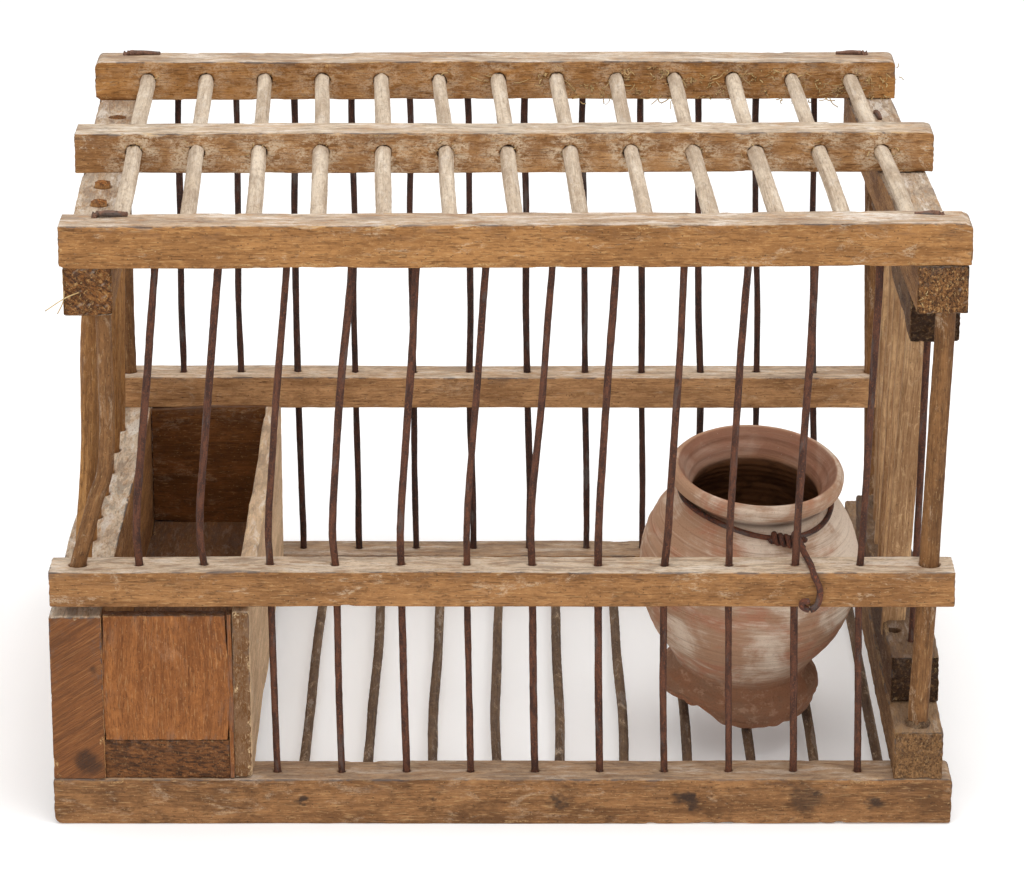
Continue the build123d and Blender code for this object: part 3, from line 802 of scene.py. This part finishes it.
ROOF_ROD_WOOD = wood(
    "roof_rod_wood", (232, 216, 194), (206, 184, 158), (142, 116, 92), streaks=0.9, dashes=0.5, bloom=0.7,
    dust_cover=0.35)
FLOOR_ROD_WOOD = wood(
    "floor_rod_wood", (150, 122, 94), (100, 76, 56), (58, 42, 32), streaks=0.6, dashes=0.5, bloom=0.8,
    dusty=(112, 88, 68), dust_cover=0.5, flakes=0.4)
IRON = rusty("rusty_iron", (132, 82, 58), (96, 60, 44), (62, 40, 32))
IRON_DARK = rusty("rusty_iron_dark", (112, 70, 52), (78, 50, 40), (48, 34, 30), bare=0.8)
IRON_WIRE = rusty("rusty_wire", (150, 84, 54), (100, 60, 44), (58, 42, 38), bare=0.7)
CLAY = clay("clay")
STRAW = wood("straw", (232, 208, 156), (206, 174, 118), (150, 112, 66), streaks=0.6, dashes=0.2)
MUD = wood("mud", (140, 112, 84), (104, 80, 58), (60, 44, 32), streaks=0.2, blotch=0.8, bloom=0.3)
IRON_NAIL = rusty("rusty_nail", (156, 112, 88), (124, 92, 76), (86, 64, 54), bare=0.9)


# ---------------- bars, rods and sticks
# How far the front bars stand off a straight line, in mm: just under the roof rail, a third of the way
# down, and just above the middle rail.
BEND_HIGH = (2.4, 0.7, 2.3, 1.4, 0.5, 2.8, 3.0, 1.5, 2.6, 1.5, 1.7, 1.0)
BEND_MIDDLE = (0.3, -1.4, 0.4, -1.3, 0.5, 1.4, 1.3, 0.4, 3.0, 0.2, 2.3, 1.0)
BEND_LOW = (-4.2, -5.6, -3.3, -4.7, -2.5, -1.8, -2.5, -1.1, 1.4, -1.0, 0.2, 0.6)
MID_TOP = box_mm("mid_front_rail")[1][2]


def bar_path(line, seed, bends=(0.0, 0.0, 0.0), wobble=0.8):
    """Iron bar's line, bent sideways above the middle rail, and slightly wandering."""
    path = resample(line, 3.0)
    rise = line[-1, 2] - MID_TOP
    height = MID_TOP + np.array([-6, 0, 0.09 * rise, 0.2 * rise, 0.68 * rise, rise - 20, rise])
    shift = np.array([0, 0.25 * bends[2], 0.9 * bends[2], bends[2], bends[1], bends[0], bends[0]])
    path[:, 0] += np.interp(path[:, 2], height, shift)
    for _ in range(3):
        path[1:-1] = (path[:-2] + 2 * path[1:-1] + path[2:]) / 4
    return wander(path, wobble, seed, 70)


def rod_paths(node, axis, amount, seed, period):
    """Slightly wandering lines of the round solids of a CAD node."""
    lines = enumerate(bar_lines(node, axis), seed)
    return [wander(resample(line, 4.0), amount, k, period) for k, line in lines]


front_bars, roof_rods, dowels = {}, {}, {}
for index, bends in enumerate(zip(BEND_HIGH, BEND_MIDDLE, BEND_LOW)):
    name = f"front_bar_{index + 1:02d}"
    front_bars[name] = bar_path(bar_lines(name, 2)[0], 11 + index, bends, 0.5)
back_bars = [bar_path(line, 31 + index, wobble=1.2) for index, line in enumerate(bar_lines("back_bars", 2))]
for index in range(13):
    name = f"roof_rod_{index + 1:02d}"
    roof_rods[name] = rod_paths(name, 1, 1.2, 51 + index, 150)[0]
floor_rods = rod_paths("floor_rods", 1, 1.5, 71, 130)
left_sticks = rod_paths("left_sticks", 2, 1.2, 91, 90)
for index, corner in enumerate(("front_right", "front_left", "back_right", "back_left")):
    name = f"corner_dowel_{corner}"
    dowels[name] = wander(curve_through(bar_lines(name, 2, 9.0)[0], 3.0), 0.8, 5 + index)


def radius_of(node):
    """Radius of a node's first round solid: it stands or lies in a plane, so half its extent across that."""
    extent = np.ptp(loose_parts(node)[0], axis=0)
    return (extent[1] if extent[2] > extent[1] else extent[2]) / 2


BAR_R = radius_of("front_bar_01")
ROOF_ROD_R = radius_of("roof_rod_01")
FLOOR_ROD_R = radius_of("floor_rods")
STICK_R = radius_of("left_sticks")
DOWEL_R = {name: radius_of(name) for name in dowels}


def rod_set(paths, radius):
    return [(path, radius) for path in paths]


FRONT_SET = rod_set(front_bars.values(), BAR_R)
BACK_SET = rod_set(back_bars, BAR_R)
ROOF_SET = rod_set(roof_rods.values(), ROOF_ROD_R)
FLOOR_SET = rod_set(floor_rods, FLOOR_ROD_R)
STICK_SET = rod_set(left_sticks, STICK_R)
DOWEL_SET = [(path, DOWEL_R[name]) for name, path in dowels.items()]


def rods(piece, node, paths, radius, seed, material, slot, swell, period, sides, dust_seed=None, waves=noise,
         **shape):
    """Piece of round bars that stand for one CAD node.

    swell, period: how much and how often a bar swells along its length, by the function waves.
    """
    bars = []
    for k, path in enumerate(paths, seed):
        bar = turned(path, radius * (1 + swell * waves(path, period, k)), sides, k, **shape)
        bars.append(bar if dust_seed is None else bar.settle_dust(1.0, dust_seed))
    return build(piece, bars, material, "cage", [node])


for index, (name, path) in enumerate(front_bars.items(), 1):
    rods(name + "_iron", name, [path], BAR_R, index, IRON, "rusty_iron", 0.07, 25, 18, waves=rough,
         relief=0.35, oval=0.06)
rods("back_bars_iron", "back_bars", back_bars, BAR_R, 40, IRON_DARK, "rusty_iron", 0.08, 25, 14,
     relief=0.25, oval=0.06)
for index, (name, path) in enumerate(roof_rods.items(), 1):
    rods(name + "_wood", name, [path], ROOF_ROD_R, 60 + index, ROOF_ROD_WOOD, "stick_wood", 0.05, 70, 40,
         dust_seed=index, relief=0.35, whittled=0.5, oval=0.05)
rods("floor_rods_wood", "floor_rods", floor_rods, FLOOR_ROD_R, 80, FLOOR_ROD_WOOD, "floor_rod_wood",
     0.07, 60, 24, dust_seed=3, relief=0.35, whittled=0.3)
rods("left_sticks_wood", "left_sticks", left_sticks, STICK_R, 90, LEFT_STICK_WOOD, "stick_wood",
     0.05, 60, 36, dust_seed=3, relief=0.4, whittled=0.8, oval=0.06)
for index, (name, path) in enumerate(dowels.items()):
    rods(name + "_wood", name, [path], DOWEL_R[name], index, DOWEL_WOOD, "stick_wood", 0.04, 80, 44,
         relief=0.4, whittled=0.5)


# ---------------- rails and boards
def rail(node, seed, material, rods, slot="rail_wood", body="cage", taller=0.0, **shape):
    """Sawn piece in place of a box-shaped CAD node."""
    low, high = box_mm(node)
    beam = sawn(low, high + taller * Z, seed, rods=rods, **shape).settle_dust(1.0, seed)
    return build(node + "_wood", [beam], material, body, [node])


run = roof_rods["roof_rod_01"][-1] - roof_rods["roof_rod_01"][0]
ROOF_SKEW = atan2(-run[0], run[1])     # the roof is racked, and the side rails with it
# Nail holes and knots along the front of the bottom rail.
SPOTS = [(-137, 1, 4, 0.9), (-48, 2, 2.5, 0.7), (38, 0, 7, 0.9), (127, 2, 8, 0.9), (130, 1, 2.5, 1.0),
         (210, 3, 13, 0.6), (214, 6, 4, 0.9), (256, -1, 7, 0.8), (291, 4, 1.6, 1.0)]
rail("top_front_rail", 1, RAIL_WOOD, FRONT_SET + ROOF_SET, lift=2.0, chips=0.8,
     round_corners=[(-1, 1, 3.0), (-1, -1, 3.0), (1, 1, 4.5), (1, -1, 2.0)])
rail("top_middle_rail", 2, RAIL_WOOD_BLOOMED, ROOF_SET, lift=1.0, chips=0.5, bloom=1.0,
     round_corners=[(-1, 1, 2.5), (1, 1, 4.0), (1, -1, 3.0)])
rail("top_back_rail", 3, RAIL_WOOD_SHADED, BACK_SET + ROOF_SET, lift=1.0, chips=0.85, bloom=0.5,
     round_corners=[(-1, 1, 6.0), (-1, -1, 3.5), (1, 1, 5.0)])
rail("mid_front_rail", 4, RAIL_WOOD_MID, FRONT_SET + DOWEL_SET, chips=0.4)
rail("mid_back_rail", 5, RAIL_WOOD_LIGHTENED, BACK_SET + DOWEL_SET, chips=0.4)
rail("bottom_front_rail", 6, RAIL_WOOD_LOW, FRONT_SET + FLOOR_SET, chips=0.75, spots=SPOTS,
     round_corners=[(-1, -1, 7.0), (-1, 1, 2.5), (1, -1, 4.0), (1, 1, 3.5)])
rail("bottom_back_rail", 7, RAIL_WOOD_LOW, BACK_SET + FLOOR_SET, chips=0.6)
SIDE = dict(grain=Y, end_bite=1.5, waver=1.2, end_grit=True)
rail("top_side_rail_left", 8, SIDE_WOOD, STICK_SET + DOWEL_SET, turn=ROOF_SKEW, worn=2.2, **SIDE)
rail("top_side_rail_right", 9, SIDE_WOOD_PORED, DOWEL_SET, turn=ROOF_SKEW, **SIDE)
rail("bottom_side_rail_right", 10, SILL_WOOD, DOWEL_SET, chips=0.8, worn=2.0, relief=0.6, **SIDE)
rail("left_plank", 11, PLANK_WOOD_LIGHTENED, STICK_SET, chips=0.6, grain=Y, slot="trough_wood",
     end_spots=[(4, -46, 14, 0.7), (11, 21, 4, 0.6), (-6, 30, 22, 0.25)])
BOARD = dict(slot="trough_wood", worn=0.7)
rail("trough_bottom_board", 12, TROUGH_FLOOR_WOOD, (), grain=Y, end_bite=1.0, **BOARD)
rail("trough_front_panel", 13, TROUGH_WOOD, (), grain=Z, up=-Y, relief=0.5, **BOARD)
rail("trough_edge_strip", 14, TROUGH_WOOD, (), grain=Z, up=-Y, **BOARD)
rail("trough_inner_board", 15, BOARD_WOOD_LIGHTENED, (), grain=Y, chips=0.95, end_bite=1.2, **BOARD)
rail("trough_back_panel", 16, TROUGH_WOOD_SHADED, (), grain=X, taller=2.0, **BOARD)


# ---------------- gate
EMPTY_HOLE_D, EMPTY_HOLE_X, EMPTY_HOLE_Y = 9.6, 273.0, -130.0     # as in the CAD
GATE = dict(body="side_gate", end_bite=2.0, grain=Y, chips=0.8, worn=2.2, relief=0.8, waver=1.6)
gate_pivot = bar_lines("gate_pivot_stick", 2)[0]
gate_bar = wander(resample(bar_lines("gate_iron_bar", 2)[0], 4.0), 0.8, 3)
GATE_SET = [(gate_bar, BAR_R), (gate_pivot, radius_of("gate_pivot_stick"))]
GATE_TOP = box_mm("gate_lower_rail")[1][2]
empty_hole = np.array([(EMPTY_HOLE_X, EMPTY_HOLE_Y, GATE_TOP + z) for z in (-14, 3)])
rail("gate_lower_rail", 17, GATE_WOOD_SHADED, GATE_SET, sockets=[(empty_hole, EMPTY_HOLE_D / 2)], **GATE)
rail("gate_upper_rail", 18, GATE_WOOD_SHADED, GATE_SET, **GATE)
bar = turned(gate_bar, BAR_R, 16, 3, relief=0.2)
build("gate_iron_bar_iron", [bar], IRON, "side_gate", ["gate_iron_bar"])
pivot = turned(resample(gate_pivot, 4.0), radius_of("gate_pivot_stick"), 36, 4, relief=0.15, whittled=0.2)
build("gate_pivot_stick_wood", [pivot], STICK_WOOD, "side_gate", ["gate_pivot_stick"])


def slat(line, points, seed):
    """Flat slat along a line, whittled from split wood."""
    foot, head = line[0], line[-1]
    wide = np.ptp(points[points[:, 2] > points[:, 2].max() - 1][:, 0])
    size = np.array([np.linalg.norm(head - foot), wide, np.ptp(points[:, 1])])
    shape = sawn(-size / 2, size / 2, seed, spacing=1.6, worn=1.6, relief=0.5)
    along = unit(head - foot)
    over = unit(np.cross(along, X))
    shape.points = (foot + head) / 2 + shape.points @ np.array([along, np.cross(over, along), over])
    return shape


slat_lines = zip(bar_lines("gate_slats", 2), loose_parts("gate_slats"))
slats = [slat(line, part, 20 + k) for k, (line, part) in enumerate(slat_lines)]
build("gate_slats_wood", slats, STICK_WOOD, "side_gate", ["gate_slats"])


# ---------------- water pot
POT_SIDES = 288
BREAK_AT, BREAK_WIDTH, BREAK_RISE = radians(228), 0.45, 11     # the gap in the foot, round the pot and up
GROOVE_H = 168.5                                               # where the wire sits under the lip
foot, up = turning_axis("clay_pot")
POT_X = unit(X - up * (X @ up))
POT_AXES = np.array([POT_X, np.cross(up, POT_X), up])
# The profile, as (radius, height): out round the foot, belly and neck, over the lip, and down inside.
OUTSIDE = [(53, 1), (55.5, 7), (56.5, 15), (53.5, 22), (47.5, 30), (53.5, 44), (67, 64), (75, 87), (77, 109),
           (74.5, 128), (68, 145), (58.5, 159), (52.8, 165.5), (52, 168.5)]
LIP = [(54, 172), (59.5, 176), (61, 180), (60, 184.5), (57.5, 187), (54.5, 185.5), (50.5, 179), (46.5, 172.5)]
INSIDE = [(44.5, 166), (50, 156), (62, 138), (69, 109), (59, 64), (34, 40), (0.5, 34)]
UNDER = [(0.5, 18), (36, 16), (42, 6), (44, 0.5), (48, -0.3)]


def pot_shape():
    """Thrown pot, its profile turned about its axis with a little wobble, and its foot broken."""
    flat = curve_through([(r, 0, h) for r, h in UNDER + OUTSIDE + LIP + INSIDE], 1.5)
    radius, height = flat[:, 0], flat[:, 2]
    inside = np.arange(len(flat)) > np.argmax(height)
    angle = np.linspace(0, 2 * pi, POT_SIDES, endpoint=False)
    turn, level = np.meshgrid(angle, np.arange(len(flat)))
    r, h = radius[level], height[level]
    key = np.stack([np.cos(turn) * 60, np.sin(turn) * 60, h], -1).reshape(-1, 3)
    wobble = (0.9 * noise(key, 55, 7) + 0.35 * noise(key, (18, 18, 6), 8)).reshape(r.shape)
    wheel = 0.35 * np.sin(h * 2 * pi / 6.5 + 1.2 * np.sin(turn + h / 20)) * (r > 30)
    r = np.maximum(r + (wobble + wheel) * np.clip(r / 30, 0, 1), 0.0)
    gap = (turn - BREAK_AT + pi) % (2 * pi) - pi
    bitten = (np.exp(-((gap / BREAK_WIDTH) ** 2)) * (1 + 0.35 * noise(key, 9, 12).reshape(r.shape))).clip(0)
    lift = BREAK_RISE * bitten * (1 - step(4, 22, h))
    low = (h < 8) & (r > 40)
    lift += low * (1.2 + 1.6 * noise(key, 7, 13).reshape(r.shape)).clip(0)
    r = r + (h < 30) * (r > 40) * 0.9 * noise(key, 8, 14).reshape(r.shape)
    own = np.stack([r * np.cos(turn), r * np.sin(turn), h], -1)
    points = own + lift[..., None] * Z
    # Paint that darkens the inside below the rim: partly dirt, partly painted shade.
    shade_and_grime_inside = inside[level] * step(-174, -163, -h)
    groove = np.exp(-(((h - GROOVE_H) / 2.6) ** 2)) * ~inside[level]
    # Pale lime bloom biased to one side of the pot and its shoulders: partly real bloom, partly painted light
    # on that side.
    right = (0.5 + 0.5 * np.cos(turn - radians(10))) ** 1.5
    paint = {
        "stain_and_shade": shade_and_grime_inside, "edge": groove, "end": np.clip(bitten - 0.3, 0, 1) * step(-9, -1, -h) * 0.9,
        "near": inside[level] * step(160, 170, h), "pale": step(-44, -30, -h),
        "bloom": right * step(50, 140, h) * (1 - 0.6 * step(165, 172, h)) * ~inside[level],
    }
    paint = {key: np.concatenate([value.ravel(), [0, key == "stain_and_shade"]]) for key, value in paint.items()}
    quads, fans = ring_faces(len(flat), POT_SIDES)
    tips = np.array([[0, 0, height[0]], [0, 0, height[-1]]])
    grain = np.concatenate([own.reshape(-1, 3), tips])
    shape = Shape(np.concatenate([points.reshape(-1, 3), tips]), quads, fans, grain=grain, **paint)
    shape.points = foot + shape.points @ POT_AXES
    return shape.settle_dust(0.7)


build("clay_pot_body", [pot_shape()], CLAY, "water_pot", ["clay_pot"])


def on_pot(angle, radius, height):
    """Point around the leaning pot; angle in degrees from its own X."""
    return foot + np.array([radius * cos(radians(angle)), radius * sin(radians(angle)), height]) @ POT_AXES


# ---------------- the pot's wire
WIRE_R = 1.9
RING_H = GROOVE_H - 1
low_rail, high_rail = box_mm("mid_front_rail")
RAIL_FRONT, RAIL_BACK, RAIL_TOP = low_rail[1], high_rail[1], high_rail[2]
HOOK_X = 204.5


def ring_path():
    """The wire's turn round the neck, sagging towards the knot."""
    places = []
    for a in np.linspace(-62, 298, 181):
        height = RING_H - 6.5 * max(0.0, cos(radians(a + 68))) ** 2 + 0.8 * sin(radians(3 * a + 40))
        neck = np.interp(height, [h for _, h in OUTSIDE], [r for r, _ in OUTSIDE])
        places.append(on_pot(a, neck + 0.5 * WIRE_R, height))
    return np.array(places)


KNOT = on_pot(-68, 62, 161)
hook = curve_through([
    KNOT + (1, -2, 0), (HOOK_X - 6, RAIL_BACK + 14, RAIL_TOP + 11),
    (HOOK_X - 0.8, RAIL_BACK - 2, RAIL_TOP + 3.5), (HOOK_X + 2.6, RAIL_FRONT + 8, RAIL_TOP + 1.8),
    (HOOK_X + 4.2, RAIL_FRONT - 1.8, RAIL_TOP - 2),
    (HOOK_X + 8, RAIL_FRONT - 3, RAIL_TOP - 11), (HOOK_X + 7, RAIL_FRONT - 3, RAIL_TOP - 21),
    (HOOK_X + 2, RAIL_FRONT - 3, RAIL_TOP - 25.5), (HOOK_X - 3.5, RAIL_FRONT - 3.2, RAIL_TOP - 23.5),
    (HOOK_X - 3.5, RAIL_FRONT - 4.2, RAIL_TOP - 19.5), (HOOK_X + 0.5, RAIL_FRONT - 4.6, RAIL_TOP - 19),
], 1.2)
twist_line = curve_through([KNOT + (-15, 1, 2), KNOT + (-5, -2, 0.5), KNOT + (8, -1, -2)], 0.5)


def strand(line, phase, reach, pitch):
    """One strand of a twist about a line."""
    length = lengths(line)
    _, side, over = across(line)
    turn = (2 * pi * length / pitch + phase)[:, None]
    return line + reach * (side * np.cos(turn) + over * np.sin(turn))


wire_shapes = [
    turned(ring_path(), WIRE_R, 12, 1, relief=0.3), turned(hook, WIRE_R * 1.15, 14, 2, relief=0.35, dome=0.6),
    turned(strand(twist_line, 0, 2.9, 8.5), WIRE_R, 12, 3, relief=0.3),
    turned(strand(twist_line, pi, 2.9, 8.5), WIRE_R, 12, 4, relief=0.3),
]
build("pot_wire_iron", wire_shapes, IRON_WIRE, "water_pot", ["pot_wire"])


# ---------------- straw, splinters and mud
def fibres(places, count, length, spread, droop, seed):
    """Dry fibres that stick out to the front round some places, each bent its own way."""
    chance = np.random.default_rng(seed)
    shapes = []
    for place in places:
        for k in range(count):
            aim = unit(np.array([chance.normal(0, 1), -chance.uniform(0.1, 0.9), chance.normal(-droop, 0.7)]))
            bent = unit(aim + chance.normal(0, 0.6, 3) * (1, 0.3, 1))
            start = place + chance.normal(0, 1, 3) * spread
            reach = length * chance.uniform(0.4, 1.0)
            path = curve_through([start, start + aim * reach * 0.5, start + (aim + bent) * reach * 0.5], 1.2)
            shapes.append(turned(path, chance.uniform(0.18, 0.42), 5, seed + k, relief=0.05))
    return shapes


def crossing(path, axis, place):
    """Where a path crosses a plane across an axis."""
    path = path[np.argsort(path[:, axis])]
    return np.array([np.interp(place, path[:, axis], path[:, k]) for k in range(3)])


middle_holes, back_holes = (
    [crossing(path, 1, box_mm(node)[0][1]) for path in roof_rods.values()]
    for node in ("top_middle_rail", "top_back_rail")
)
low, high = box_mm("top_back_rail")
chance = np.random.default_rng(5)
tangle_x = np.linspace(30, high[0] - 4, 42)
tangle = [np.array([x, low[1], chance.uniform(low[2] + 1, high[2] - 6)]) for x in tangle_x]
under = [np.array([x, low[1], low[2] + 2]) for x in (118, 124, 240, high[0] - 9)]
around, flat = np.array([4.0, 0.3, 4.0]), np.array([4.0, 0.3, 0.7])
loose = (
    fibres([hole + 2 * Z for hole in middle_holes], 7, 5.0, around, -0.1, 11)
    + fibres(back_holes[:6], 4, 8.0, around, 0.1, 12)
    + fibres(back_holes[6:], 8, 13.0, around * (1.6, 1.0, 0.9), 0.3, 13)
    + fibres(tangle, 6, 6.0, around * (1.0, 1.0, 0.5), 0.3, 14)
    + fibres(under, 4, 12.0, flat, 0.6, 15)
)
# Two long straws lie across the left side rail's end.
low, high = box_mm("top_side_rail_left")
for k, (start, end) in enumerate((((4, 4), (27, 17)), ((12, 2), (17, 18)))):
    ends = [np.array([low[0] + x, low[1] - 1.2, low[2] + z]) for x, z in (start, end)]
    bend = (ends[0] + ends[1]) / 2 + (1.5, -1.2, 2.5 - 2 * k)
    loose.append(turned(curve_through([ends[0], bend, ends[1]], 1.2), 0.38, 6, 40 + k, relief=0.05))
loose += fibres([np.array([low[0] + 27, low[1] + 2, high[2] - 12])], 5, 4.0, around * 0.6, 0.5, 17)
low, high = box_mm("top_side_rail_right")
loose += fibres([np.array([high[0] - 26, low[1] + 1, high[2] - 20])], 6, 5.0, around, 0.8, 18)
build("straw_and_splinters", loose, STRAW, "cage")

foot_place = crossing(dowels["corner_dowel_front_right"], 2, box_mm("bottom_side_rail_right")[1][2])
collar = resample([foot_place - 2 * Z, foot_place + 4.5 * Z], 0.7)
mud = turned(collar, np.linspace(10.0, 6.6, len(collar)), 60, 5, relief=2.2)
build("mud_round_the_dowel", [mud], MUD, "cage")


# ---------------- nails
def nail(part, seed):
    """Bent nail along the two ends and the corner of its CAD stand-in."""
    top = part[:, 2].max() - 2.0
    shank = part[part[:, 2] < part[:, 2].min() + 0.5].mean(0)
    tip = part[np.argmax(np.linalg.norm(part[:, :2] - shank[:2], axis=1))]
    bend = np.array([shank[0], shank[1], top])
    end = np.array([tip[0], tip[1], top - 0.6])
    path = curve_through([shank, bend - 4 * Z, bend + (end - bend) * 0.15, end], 1.0)
    length = lengths(path)
    taper = 1 - 0.3 * step(0.8, 1.0, length / length[-1])
    return turned(path, 2.0 * taper, 16, seed, relief=0.25, oval=0.12)


nails = [nail(part, 30 + k) for k, part in enumerate(loose_parts("nails"))]
build("nails_iron", nails, IRON_NAIL, "cage", ["nails"])


# ---------------- floor, light and camera
def plain(name, colour, rough, glow):
    """Matt studio surface that glows a little."""
    material = bpy.data.materials.new(name)
    material.use_nodes = True
    feed(material.node_tree.nodes["Principled BSDF"], {
        "Base Color": colour, "Roughness": rough, "Specular IOR Level": 0.1, "Emission Color": colour,
        "Emission Strength": glow})
    return material


def area_light(name, place, target, size, power):
    """Round soft light, aimed at a target."""
    light = bpy.data.lights.new(name, "AREA")
    light.shape, light.size, light.energy = "DISK", size, power
    lamp = placed(name, light)
    lamp.location = place
    aim = np.array(target) - np.array(place)
    lamp.rotation_euler = (atan2(np.hypot(aim[0], aim[1]), -aim[2]), 0, atan2(aim[1], aim[0]) - pi / 2)


FLOOR_HALF = 9.0
floor_mesh = bpy.data.meshes.new("floor")
floor_corners = [(x, y, 0) for x, y in product((-FLOOR_HALF, FLOOR_HALF), repeat=2)]
floor_mesh.from_pydata(floor_corners, [], [(0, 2, 3, 1)])
floor_mesh.materials.append(plain("floor_paper", (0.92, 0.92, 0.92, 1.0), 0.9, 0.16))
floor = placed("floor", floor_mesh)

world = bpy.data.worlds.new("studio")
world.use_nodes = True
feed(world.node_tree.nodes["Background"], {"Color": (1.0, 1.0, 1.0, 1.0), "Strength": 0.95})
bpy.context.scene.world = world
area_light("overhead", (0.3, -0.6, 2.6), (0, 0, 0.2), 1.8, 30)
area_light("front_fill", (-1.2, -2.6, 1.4), (0, 0, 0.2), 1.4, 5)

# The camera stands three metres in front, looking down a little, with a long lens.
camera_data = bpy.data.cameras.new("camera")
camera_data.lens, camera_data.sensor_width = 154.69, 36.0
camera = placed("camera", camera_data)
camera.location = (0.0055, -3.0046, 1.2227)
camera.rotation_euler = (radians(90 - 18.79), 0, 0)
bpy.context.scene.camera = camera
bpy.context.scene.view_settings.view_transform = "Standard"
